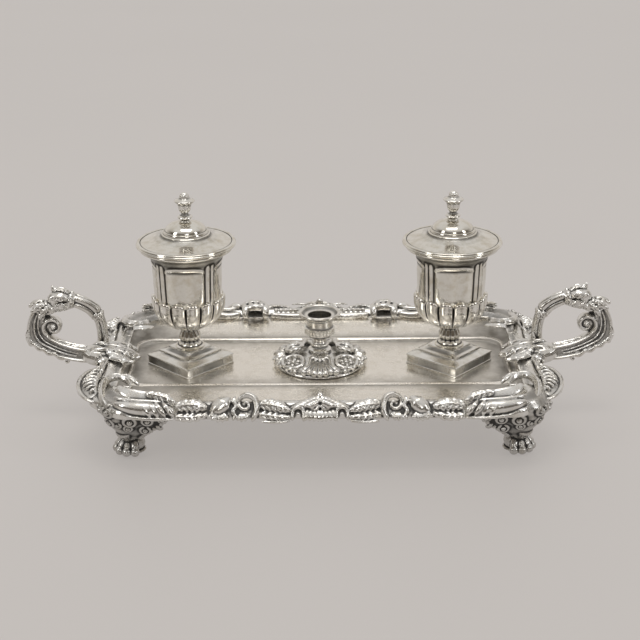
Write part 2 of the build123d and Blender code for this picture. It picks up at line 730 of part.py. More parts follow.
with BuildPart() as taperstick_socket:
    with BuildSketch(centre):
        with BuildLine():
            nozzle_r = CANDLE_R + NOZZLE_WALL + SLIDE_CLEARANCE
            Polyline((0, SOCKET_BOTTOM), (4.6, SOCKET_BOTTOM))
            ThreePointArc((4.6, SOCKET_BOTTOM), (8.0, 18.4), (9.5, 21.0))
            Polyline((9.5, 21.0), (9.5, 24.6), (SOCKET_R, 25.4), (SOCKET_R, SOCKET_TOP))
            Polyline(
                (SOCKET_R, SOCKET_TOP),
                (nozzle_r, SOCKET_TOP),
                (nozzle_r, NOZZLE_FLOOR - 1.2),
                (0, NOZZLE_FLOOR - 1.2),
                (0, SOCKET_BOTTOM),
            )
        make_face()
    revolve(axis=centre_axis)
taperstick_socket.part.label = "taperstick_socket"
export_step(taperstick_socket.part, "parts/taperstick_socket.step")

with BuildPart() as taperstick_nozzle:
    with BuildSketch(centre):
        with BuildLine():
            tube_r = CANDLE_R + NOZZLE_WALL
            Polyline((0, NOZZLE_FLOOR - 1.0), (tube_r, NOZZLE_FLOOR - 1.0), (tube_r, SOCKET_TOP))
            ThreePointArc((tube_r, SOCKET_TOP), (10.6, 32.7), (NOZZLE_FLANGE_R, NOZZLE_TOP - 0.5))
            Line((NOZZLE_FLANGE_R, NOZZLE_TOP - 0.5), (NOZZLE_FLANGE_R - 0.7, NOZZLE_TOP))
            ThreePointArc((NOZZLE_FLANGE_R - 0.7, NOZZLE_TOP), (10.2, 33.6), (CANDLE_R, 33.2))
            Polyline(
                (CANDLE_R, 33.2),
                (CANDLE_R, NOZZLE_FLOOR),
                (0, NOZZLE_FLOOR),
                (0, NOZZLE_FLOOR - 1.0),
            )
        make_face()
    revolve(axis=centre_axis)
taperstick_nozzle.part.label = "taperstick_nozzle"
export_step(taperstick_nozzle.part, "parts/taperstick_nozzle.step")
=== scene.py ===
import math

import bpy
import numpy as np
from mathutils import Euler, Matrix, Vector


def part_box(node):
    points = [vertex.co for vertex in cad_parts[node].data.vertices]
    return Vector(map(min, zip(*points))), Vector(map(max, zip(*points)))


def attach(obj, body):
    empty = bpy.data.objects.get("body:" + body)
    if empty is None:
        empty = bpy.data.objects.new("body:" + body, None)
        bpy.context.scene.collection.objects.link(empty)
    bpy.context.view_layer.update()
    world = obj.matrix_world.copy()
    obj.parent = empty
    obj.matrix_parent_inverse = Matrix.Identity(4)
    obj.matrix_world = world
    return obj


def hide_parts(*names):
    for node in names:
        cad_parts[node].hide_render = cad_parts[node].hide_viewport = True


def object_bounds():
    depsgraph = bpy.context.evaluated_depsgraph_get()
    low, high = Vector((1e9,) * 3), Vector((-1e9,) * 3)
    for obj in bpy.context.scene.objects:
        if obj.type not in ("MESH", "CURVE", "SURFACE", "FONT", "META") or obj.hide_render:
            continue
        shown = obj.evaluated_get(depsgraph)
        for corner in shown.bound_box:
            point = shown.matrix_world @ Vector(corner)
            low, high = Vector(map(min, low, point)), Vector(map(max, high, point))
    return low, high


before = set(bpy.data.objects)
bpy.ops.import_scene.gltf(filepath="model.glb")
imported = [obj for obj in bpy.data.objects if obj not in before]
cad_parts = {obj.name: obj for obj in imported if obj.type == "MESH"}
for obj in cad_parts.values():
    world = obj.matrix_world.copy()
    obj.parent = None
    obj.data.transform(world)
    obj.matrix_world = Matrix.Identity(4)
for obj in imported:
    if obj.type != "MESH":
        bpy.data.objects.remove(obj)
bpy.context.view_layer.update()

# A silver-plated double inkstand. Shapes are worked out in millimetres above the tray's
# floor and written to meshes in metres.
MM = 0.001
CAST_VOXEL = 0.42         # cell of the remesh that joins the pieces of one casting
FINE_VOXEL = 0.34         # the same, for the crisper castings
RIM_INSET = 8.0           # from the tray's edge to the middle of its border


# ---- places, from the frame ------------------------------------------------
def box_mm(node):
    low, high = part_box(node)
    return np.array(low) / MM, np.array(high) / MM


FLOOR = box_mm("taperstick_spigot")[0][2]
EDGE_X, EDGE_Y, pan_top = box_mm("tray_pan")[1]
RIM_Z = pan_top - FLOOR
URN_X = float(np.mean([p[0] for p in box_mm("ink_liner_right")]))
LONG_END = box_mm("border_front")[1][0]
SHORT_END = box_mm("border_left")[1][1]
RIM_MID_X = EDGE_X - RIM_INSET
RIM_MID_Y = EDGE_Y - RIM_INSET


# ---- mesh tools ------------------------------------------------------------
SPLINE_STEPS = 24         # between two given points, before even spacing
RING_GAP = 0.9            # between the rings of a swept body
TIP_RINGS = 2.5           # rings over which a swept body rounds off at its ends
CAVITY_STEPS = (4, 14, 40)
CAVITY_DEPTH = 0.35       # hollow that counts in full, after the middle number of steps


def unit(v):
    v = np.asarray(v, float)
    length = np.linalg.norm(v, axis=-1, keepdims=True)
    return v / np.maximum(length, 1e-9)


def axes(way, up):
    """The direction way, the nearest to up that is square to it, and the one square to both."""
    way = unit(way)
    up = unit(np.asarray(up, float) - np.dot(up, way) * way)
    return way, up, np.cross(way, up)


def heading(degrees):
    a = math.radians(degrees)
    return math.cos(a), math.sin(a)


def spline(points, count):
    """Catmull-Rom curve through the points, evenly spaced."""
    p = np.asarray(points, float)
    if len(p) == 2:
        p = np.array([p[0], p.mean(0), p[1]])
    ext = np.vstack([2 * p[0] - p[1], p, 2 * p[-1] - p[-2]])
    t = np.linspace(0, 1, SPLINE_STEPS, endpoint=False)[:, None]
    fine = []
    for a, b, c, d in zip(ext, ext[1:], ext[2:], ext[3:]):
        square = 2 * a - 5 * b + 4 * c - d
        cube = 3 * b - a - 3 * c + d
        fine.append(0.5 * (2 * b + (c - a) * t + square * t**2 + cube * t**3))
    fine = np.vstack(fine + [p[-1:]])
    run = np.concatenate([[0], np.cumsum(np.linalg.norm(np.diff(fine, axis=0), axis=1))])
    want = np.linspace(0, run[-1], count)
    return np.stack([np.interp(want, run, fine[:, k]) for k in range(fine.shape[1])], 1)


def along(values, count):
    """Values given at even steps, read at count steps."""
    values = np.atleast_1d(np.asarray(values, float))
    if len(values) == 1:
        return np.full(count, values[0])
    return np.interp(np.linspace(0, 1, count), np.linspace(0, 1, len(values)), values)


def round_lobe(across, least=0.0):
    """Height of a half-round lobe, from 1 at its middle to 0 where across is 1 or -1."""
    return np.sqrt(np.clip(1 - across**2, least, 1))


def fade_in(z, start, length):
    """From 0 at start to 1 a length further on."""
    return np.clip((z - start) / length, 0, 1)


def fade_out(z, end, length):
    """From 1 a length before end to 0 at end."""
    return np.clip((end - z) / length, 0, 1)


class Shape:
    """A heap of closed meshes, in millimetres, with z counted from the tray's floor."""

    def __init__(self):
        self.verts = []
        self.faces = []
        self.count = 0

    def add(self, verts, faces):
        verts = np.asarray(verts, float)
        self.verts.append(verts)
        self.faces.extend([tuple(i + self.count for i in f) for f in faces])
        self.count += len(verts)

    def rings(self, rings, close=False):
        """Skin over rings of equally many points. Open skins get flat caps."""
        rings = np.asarray(rings, float)
        n, m = rings.shape[:2]
        faces = []
        for i in range(n if close else n - 1):
            a = i * m
            b = ((i + 1) % n) * m
            for j in range(m):
                k = (j + 1) % m
                faces.append((a + j, a + k, b + k, b + j))
        if not close:
            faces.append(tuple(range(m - 1, -1, -1)))
            faces.append(tuple(range((n - 1) * m, n * m)))
        self.add(rings.reshape(-1, 3), faces)

    def sweep(self, points, wide, thick=None, up=(0, 0, 1), sides=12, camber=0.0, lobes=0, bite=0.0,
              tips=True):
        """Swept body with an oval section: wide across, thick along up, as values along the path.
        Lobes make its width swell and fall back, by the share bite, like the edge of a leaf."""
        p = np.asarray(points, float)
        length = np.linalg.norm(np.diff(p, axis=0), axis=1).sum()
        steps = max(int(np.clip(length / RING_GAP, 8, 90)), lobes * 9)
        line = spline(p, steps)
        wide = along(wide, steps)
        thick = wide.copy() if thick is None else along(thick, steps)
        if lobes:
            saw = np.linspace(0, lobes, steps) % 1.0
            wide = wide * (1 - bite * saw**1.6)
        if tips:
            near_end = np.minimum(np.arange(steps), np.arange(steps)[::-1])
            fade = round_lobe(1 - np.clip(near_end / TIP_RINGS, 0, 1), least=0.03)
            wide = wide * fade
            thick = thick * fade
        tangent = unit(np.gradient(line, axis=0))
        up = np.broadcast_to(np.asarray(up, float), line.shape)
        side = unit(np.cross(tangent, up))
        over = np.cross(side, tangent)
        angle = np.linspace(0, 2 * math.pi, sides, endpoint=False)
        c = np.cos(angle)[None, :, None]
        s = np.sin(angle)[None, :, None]
        lift = camber * (1 - c**2) - camber * 0.5
        rings = line[:, None] + side[:, None] * c * wide[:, None, None] + over[:, None] * (
            s * thick[:, None, None] + lift * wide[:, None, None]
        )
        self.rings(rings)

    def blob(self, centre, radii, turn=(0, 0, 0)):
        """Ellipsoid, turned by Euler angles in degrees."""
        sides = 14
        phi = np.linspace(0, math.pi, sides // 2 + 2)[1:-1, None]
        theta = np.linspace(0, 2 * math.pi, sides, endpoint=False)
        x, y, z = np.sin(phi) * np.cos(theta), np.sin(phi) * np.sin(theta), np.cos(phi)
        rings = np.stack([x, y, z + 0 * x], 2)
        radii = np.broadcast_to(np.asarray(radii, float), 3)
        spin = np.array(Euler([math.radians(a) for a in turn]).to_matrix())
        rings = (rings * radii) @ spin.T + np.asarray(centre, float)
        self.rings(rings)

    def lathe(self, profile, centre=(0, 0), segments=96, shape=None, close=False):
        """Turned solid. shape(theta, r, z) may give every point a new radius and height."""
        profile = np.asarray(profile, float)
        theta = np.linspace(0, 2 * math.pi, segments, endpoint=False)
        r = np.repeat(profile[:, :1], segments, 1)
        z = np.repeat(profile[:, 1:2], segments, 1)
        t = np.repeat(theta[None], len(profile), 0)
        if shape:
            r, z = shape(t, r, z)
        rings = np.stack([centre[0] + r * np.cos(t), centre[1] + r * np.sin(t), z], 2)
        self.rings(rings, close)

    def moved(self, sx=1, sy=1):
        """Copy mirrored across the tray."""
        other = Shape()
        other.verts = [verts * np.array([sx, sy, 1.0]) for verts in self.verts]
        other.faces = [f[::-1] for f in self.faces] if sx * sy < 0 else list(self.faces)
        other.count = self.count
        return other


def make_mesh(name, shape):
    mesh = bpy.data.meshes.new(name)
    verts = np.vstack(shape.verts)
    verts = (verts + np.array([0, 0, FLOOR])) * MM
    mesh.from_pydata(verts.tolist(), [], shape.faces)
    mesh.validate()
    mesh.update()
    obj = bpy.data.objects.new(name, mesh)
    bpy.context.scene.collection.objects.link(obj)
    return obj


def apply_modifiers(obj):
    graph = bpy.context.evaluated_depsgraph_get()
    mesh = bpy.data.meshes.new_from_object(obj.evaluated_get(graph))
    obj.modifiers.clear()
    old = obj.data
    obj.data = mesh
    mesh.name = obj.name
    bpy.data.meshes.remove(old)


def read_rows(items, key, width, kind=float):
    """One attribute of every item, as rows of so many numbers."""
    values = np.zeros(len(items) * width, kind)
    items.foreach_get(key, values)
    return values.reshape(-1, width)


def cavity(obj):
    """Stores how hollow the surface is round each vertex, from 0 on ridges to 1 in recesses."""
    mesh = obj.data
    n = len(mesh.vertices)
    co = read_rows(mesh.vertices, "co", 3) / MM
    normal = read_rows(mesh.vertices, "normal", 3)
    edge = read_rows(mesh.edges, "vertices", 2, np.int64)
    a = np.concatenate([edge[:, 0], edge[:, 1]])
    b = np.concatenate([edge[:, 1], edge[:, 0]])
    degree = np.maximum(np.bincount(a, minlength=n), 1)[:, None]
    smooth = co.copy()
    total = np.zeros(n)
    for step in range(1, CAVITY_STEPS[-1] + 1):
        smooth = np.stack([np.bincount(a, smooth[b, k], minlength=n) for k in range(3)], 1) / degree
        if step in CAVITY_STEPS:
            hollow = np.einsum("ij,ij->i", normal, smooth - co)
            full = CAVITY_DEPTH * (step / CAVITY_STEPS[1]) ** 0.5
            total += np.clip(hollow / full, -0.6, 1.0) / len(CAVITY_STEPS)
    value = np.clip(0.5 + 1.1 * total, 0, 1)
    layer = mesh.attributes.new("cavity", "FLOAT", "POINT")
    layer.data.foreach_set("value", value.astype(np.float32))


def place(obj, body, node_name, material):
    obj.data.materials.clear()
    obj.data.materials.append(material)
    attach(obj, body)
    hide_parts(node_name)


def casting(name, shape, material, body="tray", voxel=CAST_VOXEL):
    """The named node's visible piece: overlapping bodies joined in one skin and softened a little."""
    obj = make_mesh(name + "_cast", shape)
    remesh = obj.modifiers.new("join", "REMESH")
    remesh.mode = "VOXEL"
    remesh.voxel_size = voxel * MM
    remesh.use_smooth_shade = True
    soften = obj.modifiers.new("soften", "SMOOTH")
    soften.factor = 0.5
    soften.iterations = 2
    apply_modifiers(obj)
    cavity(obj)
    place(obj, body, name, material)


def turned(name, shape, material, body="tray", angle=50, piece=None):
    """The named node's visible piece, with its mesh as built, smooth but for its sharp edges."""
    obj = make_mesh(piece or name + "_made", shape)
    obj.data.shade_smooth()
    obj.data.set_sharp_from_angle(angle=math.radians(angle))
    cavity(obj)
    place(obj, body, name, material)


# ---- materials -------------------------------------------------------------
def node(nt, kind, inputs=None, **props):
    n = nt.nodes.new(kind)
    for key, value in props.items():
        setattr(n, key, value)
    for key, value in (inputs or {}).items():
        if isinstance(value, bpy.types.NodeSocket):
            nt.links.new(value, n.inputs[key])
        else:
            n.inputs[key].default_value = value
    return n


def mix_colour(nt, factor, a, b):
    return node(nt, "ShaderNodeMix", {0: factor, 6: a, 7: b}, data_type="RGBA").outputs[2]


def calculate(nt, operation, a, b):
    return node(nt, "ShaderNodeMath", {0: a, 1: b}, operation=operation).outputs[0]


def ramp(nt, value, low, high, to_low=0.0, to_high=1.0):
    limits = {"Value": value, "From Min": low, "From Max": high, "To Min": to_low, "To Max": to_high}
    return node(nt, "ShaderNodeMapRange", limits).outputs["Result"]


def noise(nt, at, scale, detail, **more):
    inputs = {"Vector": at, "Scale": scale, "Detail": detail, **more}
    return node(nt, "ShaderNodeTexNoise", inputs).outputs["Fac"]


def new_material(name):
    """Empty material, with its node tree and the object coordinates in it."""
    mat = bpy.data.materials.new(name)
    mat.use_nodes = True
    mat.node_tree.nodes.clear()
    return mat, mat.node_tree, node(mat.node_tree, "ShaderNodeTexCoord").outputs["Object"]


def surface(nt, looks):
    """Ends a material's graph with a Principled shader of these inputs."""
    shader = node(nt, "ShaderNodeBsdfPrincipled", looks)
    node(nt, "ShaderNodeOutputMaterial", {"Surface": shader.outputs[0]})


CLOUD_SCALE = 160.0       # tarnish patches, about 6 mm across
GRAIN_SCALE = 1400.0      # wear, under 1 mm
SCRATCH_SCALE = (220.0, 2600.0, 2600.0)     # long along x, fine across it
SKIN_DEPTH = 0.00008      # metres, of the scratches and grain
TARNISH_TINT = (0.74, 0.69, 0.60)           # warmer and darker than clean silver


def silver(name, bright, patina_and_shade, start, full, rough, scratch, tarnish=0.6):
    """Silver plate: bright on ridges, blackened in recesses by patina and painted shade, with a little
    tarnish and wear. The darkening sets in where the cavity value passes start and is complete at full."""
    mat, nt, at = new_material(name)
    # The cavity value sets where recesses darken: real patina, with painted shade in it.
    hollow = node(nt, "ShaderNodeAttribute", attribute_name="cavity").outputs["Fac"]
    cloud = noise(nt, at, CLOUD_SCALE, 4.0, Roughness=0.6)
    grain = noise(nt, at, GRAIN_SCALE, 3.0)
    uneven = 0.16           # how far the clouds shift the edge of the patina and painted shade
    level = calculate(nt, "ADD", hollow, calculate(nt, "MULTIPLY", cloud, uneven))
    dark = calculate(nt, "POWER", ramp(nt, level, start + uneven / 2, full + uneven / 2), 1.25)
    warm = [c * k for c, k in zip(bright, TARNISH_TINT)]
    base = mix_colour(nt, ramp(nt, cloud, 0.42, 0.75, 0.0, tarnish), (*bright, 1), (*warm, 1))
    wear = ramp(nt, grain, 0.3, 0.8, rough * 0.7, rough * 1.5)
    blotch = ramp(nt, cloud, 0.35, 0.7, 0.0, rough * 0.5)
    polish = calculate(nt, "ADD", wear, blotch)
    stretch = node(nt, "ShaderNodeMapping", {"Vector": at, "Scale": SCRATCH_SCALE}).outputs["Vector"]
    skin = calculate(nt, "ADD", grain, noise(nt, stretch, 1.0, 2.0))
    bump = node(nt, "ShaderNodeBump", {"Height": skin, "Strength": scratch, "Distance": SKIN_DEPTH})
    surface(nt, {
        # Recesses painted dark: patina together with painted shade.
        "Base Color": mix_colour(nt, dark, base, (*patina_and_shade, 1)),
        "Metallic": ramp(nt, dark, 0.0, 1.0, 1.0, 0.75),
        "Roughness": node(nt, "ShaderNodeMix", {0: dark, 2: polish, 3: 0.5}).outputs[0],
        "Normal": bump.outputs["Normal"],
    })
    return mat


# The second colour of each is the dark of its recesses: patina together with painted shade.
cast_silver = silver("cast_silver", (0.78, 0.77, 0.745), (0.085, 0.082, 0.078), 0.40, 0.96, 0.18, 0.35)
# The feet's silver: a darker base colour, and recesses that darken sooner.
foot_silver = silver("dark_foot_silver", (0.56, 0.55, 0.53), (0.05, 0.048, 0.046), 0.30, 0.74, 0.22, 0.45)
turned_silver = silver("turned_silver", (0.80, 0.78, 0.725), (0.045, 0.04, 0.034), 0.55,
                       0.98, 0.08, 0.12, 0.8)
lobed_silver = silver("lobed_silver", (0.82, 0.80, 0.755), (0.05, 0.046, 0.042), 0.50, 0.84, 0.10, 0.12)
plinth_silver = silver("worn_silver", (0.80, 0.785, 0.745), (0.05, 0.048, 0.045), 0.6, 1.15, 0.13, 0.25)
tray_silver = silver("tray_silver", (0.90, 0.865, 0.80), (0.12, 0.11, 0.10), 0.7, 1.15, 0.2, 0.25, 0.3)


def brass_material():
    mat, nt, at = new_material("dull_brass")
    cloud = noise(nt, at, 500.0, 4.0)
    worn, dull = (0.62, 0.47, 0.22, 1), (0.36, 0.26, 0.13, 1)
    surface(nt, {
        "Base Color": mix_colour(nt, ramp(nt, cloud, 0.35, 0.7), worn, dull),
        "Metallic": 1.0,
        "Roughness": ramp(nt, cloud, 0.3, 0.7, 0.24, 0.42),
    })
    return mat


def glass_material():
    mat, nt, at = new_material("pressed_glass")
    cloud = noise(nt, at, 260.0, 3.0)
    clear, greenish = (0.93, 0.97, 0.96, 1), (0.84, 0.91, 0.90, 1)
    bump = node(nt, "ShaderNodeBump", {"Height": cloud, "Strength": 0.15, "Distance": 0.0002})
    surface(nt, {
        "Base Color": mix_colour(nt, ramp(nt, cloud, 0.4, 0.7), clear, greenish),
        "Transmission Weight": 1.0, "Roughness": 0.04, "IOR": 1.5, "Normal": bump.outputs["Normal"],
    })
    return mat


dull_brass = brass_material()
pressed_glass = glass_material()
BRASS_NODES = ("urn_tie_rod", "urn_nut", "urn_washer", "finial_nut", "taperstick_spigot")
for name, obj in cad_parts.items():
    look = turned_silver
    if name.startswith("ink_liner"):
        look = pressed_glass
    elif name.startswith(BRASS_NODES):
        look = dull_brass
    for holder in obj.material_slots:
        holder.material = look


# ---- tray ------------------------------------------------------------------
def rounded_ring(half_x, half_y, radius, z, corner=10, edge=10, centre=(0, 0), turn=0.0):
    """Closed ring of a rounded rectangle, anticlockwise, with points along its straight sides."""
    arcs = []
    for sx, sy, start in ((1, 1, 0), (-1, 1, 90), (-1, -1, 180), (1, -1, 270)):
        a = np.radians(start + np.linspace(0, 90, corner))
        middle = np.array([sx * (half_x - radius), sy * (half_y - radius)])
        arcs.append(middle + radius * np.column_stack([np.cos(a), np.sin(a)]))
    points = []
    for arc, following in zip(arcs, arcs[1:] + arcs[:1]):
        w = np.arange(1, edge)[:, None] / edge
        points += [arc, arc[-1] * (1 - w) + following[0] * w]
    c, s = math.cos(turn), math.sin(turn)
    plan = np.vstack(points) @ np.array([[c, s], [-s, c]]) + np.array(centre)
    return np.column_stack([plan, np.full(len(plan), z)])


SHEET = 1.6               # thickness of the tray
WELL_X = 121.0            # the flat floor's half length and half width
WELL_Y = 35.6
WELL_CORNER = 12.0
FLANGE_X = EDGE_X - 12.0
FLANGE_Y = EDGE_Y - 16.0
FLANGE_CORNER = 18.0
EDGE_CORNER = 34.0
WELL_MOULDING = [(0.0, 0.0), (0.3, 0.25), (0.7, 0.9), (1.3, 1.55), (2.1, 1.9), (3.0, 1.9), (3.7, 1.6),
                 (4.2, 1.3), (4.6, 1.2)]


def make_tray():
    """Dish of one sheet: flat floor, moulded step round it, rising flange."""
    rings = []
    for k in (0.02, 0.3, 0.6, 0.9, 0.97):
        rings.append(rounded_ring(WELL_X * k, WELL_Y * k, WELL_CORNER * k, 0.0))
    for out, rise in WELL_MOULDING:
        rings.append(rounded_ring(WELL_X + out * 0.8, WELL_Y + out, WELL_CORNER + out * 0.5, rise))
    foot_x, foot_y, foot_corner = WELL_X + 3.7, WELL_Y + out, 14.5
    for k in np.linspace(0.04, 1.0, 12):
        half_x = foot_x + k * (FLANGE_X - foot_x)
        half_y = foot_y + k * (FLANGE_Y - foot_y)
        radius = foot_corner + k * (FLANGE_CORNER - foot_corner)
        rings.append(rounded_ring(half_x, half_y, radius, rise + (RIM_Z - rise) * k**1.3))
    for draw_in, drop in ((0.3, 0.0), (0.0, SHEET / 2), (0.3, SHEET)):
        rings.append(rounded_ring(EDGE_X - draw_in, EDGE_Y - draw_in, EDGE_CORNER, RIM_Z - drop))
    rings.append(rounded_ring(FLANGE_X, FLANGE_Y, FLANGE_CORNER, RIM_Z - SHEET))
    rings.append(rounded_ring(WELL_X + 2, WELL_Y + 3, WELL_CORNER + 1, 0.6 - SHEET))
    rings.append(rounded_ring(WELL_X, WELL_Y, WELL_CORNER, -SHEET))
    rings.append(rounded_ring(WELL_X * 0.02, WELL_Y * 0.02, 0.2, -SHEET))
    shape = Shape()
    shape.rings(rings[::-1])
    turned("tray_pan", shape, tray_silver, angle=40, piece="tray_dish")


# ---- border motifs ---------------------------------------------------------
LEAF_POINTS = 24          # along a leaf's midrib


class Run:
    """Turns border coordinates, along, outward and up, into the tray's own."""

    def __init__(self, shape, origin=(0, 0), s_axis=(1, 0), o_axis=(0, 1)):
        self.shape = shape
        self.origin = np.array([*origin, 0.0])
        self.axes = np.array([(*s_axis, 0.0), (*o_axis, 0.0), (0.0, 0.0, 1.0)])

    def at(self, points):
        return self.origin + self.way(points)

    def way(self, v):
        return np.asarray(v, float) @ self.axes

    def sweep(self, points, wide, thick=None, up=(0, 0, 1), **more):
        self.shape.sweep(self.at(points), wide, thick, up=self.way(up), **more)

    def bead(self, s, o, z, r):
        self.shape.blob(self.at((s, o, z)), r)

    def leaf(self, spine, wide, up, thick=0.9, lobes=5, bite=0.45, veins=True, camber=0.18):
        """Lobed leaf with a midrib and side veins."""
        self.sweep(spine, wide, thick, up=up, lobes=lobes, bite=bite * 0.7, camber=camber, sides=14)
        line = spline(spine, LEAF_POINTS)
        last = LEAF_POINTS - 1
        top = unit(up)
        lift = top * (thick * 0.9 + camber * max(wide) * 0.5)
        self.sweep(line + lift, [0.75, 0.6, 0.35], up=up, sides=8)
        if not veins:
            return
        tangent = unit(np.gradient(line, axis=0))
        side = np.cross(tangent, top)
        width = along(wide, LEAF_POINTS)
        for k in range(lobes):
            i = int((k + 0.15) / lobes * last)
            j = min(i + max(3, 30 // lobes), last)
            for hand in (-1, 1):
                tip = line[j] + hand * side[j] * width[j] * 0.78 + lift * 0.42
                mid = (line[i] + tip) / 2 + lift * 0.62 + hand * side[i] * width[i] * 0.06
                self.sweep([line[i] + lift * 0.6, mid, tip], [0.7, 0.65, 0.4], up=up, sides=8)

    def fan(self, base, way, up, length, spread, ribs, start_r=0.5, end_r=1.5, cup=0.25, uneven=0.12):
        """Scallop shell: ribs that spread from a base and curl along up towards their ends."""
        base = np.asarray(base, float)
        way, up, side = axes(way, up)
        for f in np.linspace(-1, 1, ribs):
            a = math.radians(spread / 2) * f
            d = math.cos(a) * way + math.sin(a) * side
            long = length * (1 - uneven * f * f)
            mid = base + d * long * 0.55 + up * long * cup * 0.25
            tip = base + d * long + up * long * cup
            radii = [start_r, (start_r + end_r) * 0.55, end_r, end_r * 0.9]
            self.sweep([base, mid, tip], radii, up=up, sides=10)

    def scroll(self, centre, radii, angles, tube, plane=((1, 0, 0), (0, 0, 1)), up=(0, 1, 0),
               rise=0.0, flat=1.0):
        """Spiral roll in a plane, given by two directions. Its radius eases from the first to the last,
        it rises along up, and its tube is flat times as thick across the plane."""
        first, last = angles
        turns = np.radians(np.linspace(first, last, 5 + int(abs(last - first) / 18)))[:, None]
        k = np.linspace(0, 1, len(turns))[:, None]
        radius = radii[0] + (radii[1] - radii[0]) * k
        e1, e2, top = (np.asarray(v, float) for v in (*plane, up))
        points = centre + radius * (np.cos(turns) * e1 + np.sin(turns) * e2) + top * rise * k
        self.sweep(points, tube, [t * flat for t in tube], up=up, sides=10)


# The border's face slopes down and out. Motifs are drawn on it: s along the border, t up the
# slope from its middle, h away from it.
FACE_MID = np.array([0, 5.6, 5.2])
FACE_UP = np.array([0, -0.66, 0.75])
FACE_OUT = np.array([0, 0.75, 0.66])


class Face:
    """Draws on the sloping face of a border, for one hand of its mirrored pattern."""

    def __init__(self, run, hand):
        self.run = run
        self.hand = hand

    def put(self, points):
        return FACE_MID + np.asarray(points, float) @ np.array([(self.hand, 0, 0), FACE_UP, FACE_OUT])

    def sweep(self, points, wide, thick=None, **more):
        self.run.sweep(self.put(points), wide, thick, up=FACE_OUT, **more)

    def leaf(self, points, wide, **more):
        self.run.leaf(self.put(points), wide, FACE_OUT, **more)

    def bead(self, s, t, h, r):
        self.run.bead(*self.put((s, t, h)), r)

    def ribs(self, root, tips, start, end, height=1.0):
        """Ribs from near one root to each of the tips, like a shell or a feathered wing."""
        root = np.array([*root, height * 0.6])
        for tip in tips:
            tip = np.array([*tip, height * 0.9])
            mid = (root + tip) / 2 + np.array([0, 0, height * 0.6])
            first = root + (tip - root) * 0.06
            self.sweep([first, mid, tip], [start, (start + end) / 2, end, end * 0.85], sides=10)

    def curl(self, s, t, h, radii, angles, tube):
        plane = ((self.hand, 0, 0), FACE_UP)
        self.run.scroll(self.put((s, t, h)), radii, angles, tube, plane, FACE_OUT, rise=0.8)


RAIL_SECTION = [(-6.2, 3.6), (-6.3, 4.4), (-5.5, 4.9), (-4.7, 4.6), (-3.0, 4.9), (-1.0, 6.3),
                (0.8, 7.6), (2.6, 8.1), (4.6, 7.4), (6.8, 5.7), (8.6, 4.0), (9.6, 2.4), (9.6, 0.8),
                (9.4, -0.8), (8.7, -1.4), (8.1, -0.8), (8.05, 2.4)]


def rail(shape, path, outward, lower=0.0):
    """Moulding along a plan path, with the outward direction at each of its points. Lower takes the
    top of its section down."""
    section = [(out, z - lower * max(0.0, (z - 4.4) / 3)) for out, z in RAIL_SECTION]
    rings = []
    for (x, y), (dx, dy) in zip(path, outward):
        rings.append([(x + dx * out, y + dy * out, z) for out, z in section])
    shape.rings(rings)


def palmette(face):
    """Half of the middle motif: feathered wing, ridge, arch and flutes."""
    face.ribs((0.4, -1.6), [(1.8, 7.0), (4.6, 6.3), (7.4, 5.2), (10.2, 3.8), (13.0, 2.4),
                            (15.6, 0.8)], 1.2, 2.0, 1.9)
    face.ribs((1.6, -1.4), [(2.6, 4.4), (5.4, 3.4), (8.2, 2.0), (10.8, 0.4)], 1.0, 1.4, 3.2)
    face.sweep([(0, 0.4, 3.4), (3.0, -2.4, 2.6), (5.6, -1.4, 3.0), (8.6, 0.0, 2.8), (12.6, 0.6, 2.2),
                (16.4, -0.6, 1.8), (18.4, -1.8, 1.0)], [1.0, 1.2, 1.1, 1.3, 1.3, 1.2, 0.8])
    face.bead(0, 7.0, 2.0, 2.2)
    face.bead(0, 3.2, 3.4, 1.6)
    arch = [(10.0, -9.6, 1.4), (9.9, -4.8, 2.0), (11.0, -1.8, 2.2), (13.3, -0.8, 2.2),
            (15.6, -1.8, 2.2), (16.7, -4.8, 2.0), (16.8, -9.2, 1.4)]
    face.sweep(arch, [1.1, 1.3, 1.35, 1.35, 1.35, 1.3, 1.0], [1.9])
    for k in range(4):
        s = 1.0 + 2.5 * k
        face.sweep([(s * 0.8, -2.0 + 0.4 * k, 2.0), (s, -6.0, 2.6), (s * 1.05, -9.9 + 0.2 * k, 1.4)],
                   [1.4, 1.7, 1.5], [0.9, 1.0, 0.9])


def veined_leaf(face):
    face.leaf([(37, -4.6, 0.4), (31, -5.8, 1.0), (24.5, -6.6, 1.0), (17.6, -6.8, 0.4)],
              [2.4, 3.4, 3.2, 1.2], thick=1.4, lobes=5, bite=0.36)
    face.leaf([(37, 1.2, 0.8), (31, 0.8, 1.6), (24.5, -0.6, 1.6), (17.6, -3.0, 0.6)],
              [3.2, 5.2, 4.8, 1.2], thick=1.7, lobes=6, bite=0.32)
    face.sweep([(18, -9.0, 0.6), (26, -9.8, 0.8), (36, -9.4, 0.6)], [0.9, 1.1, 0.9])


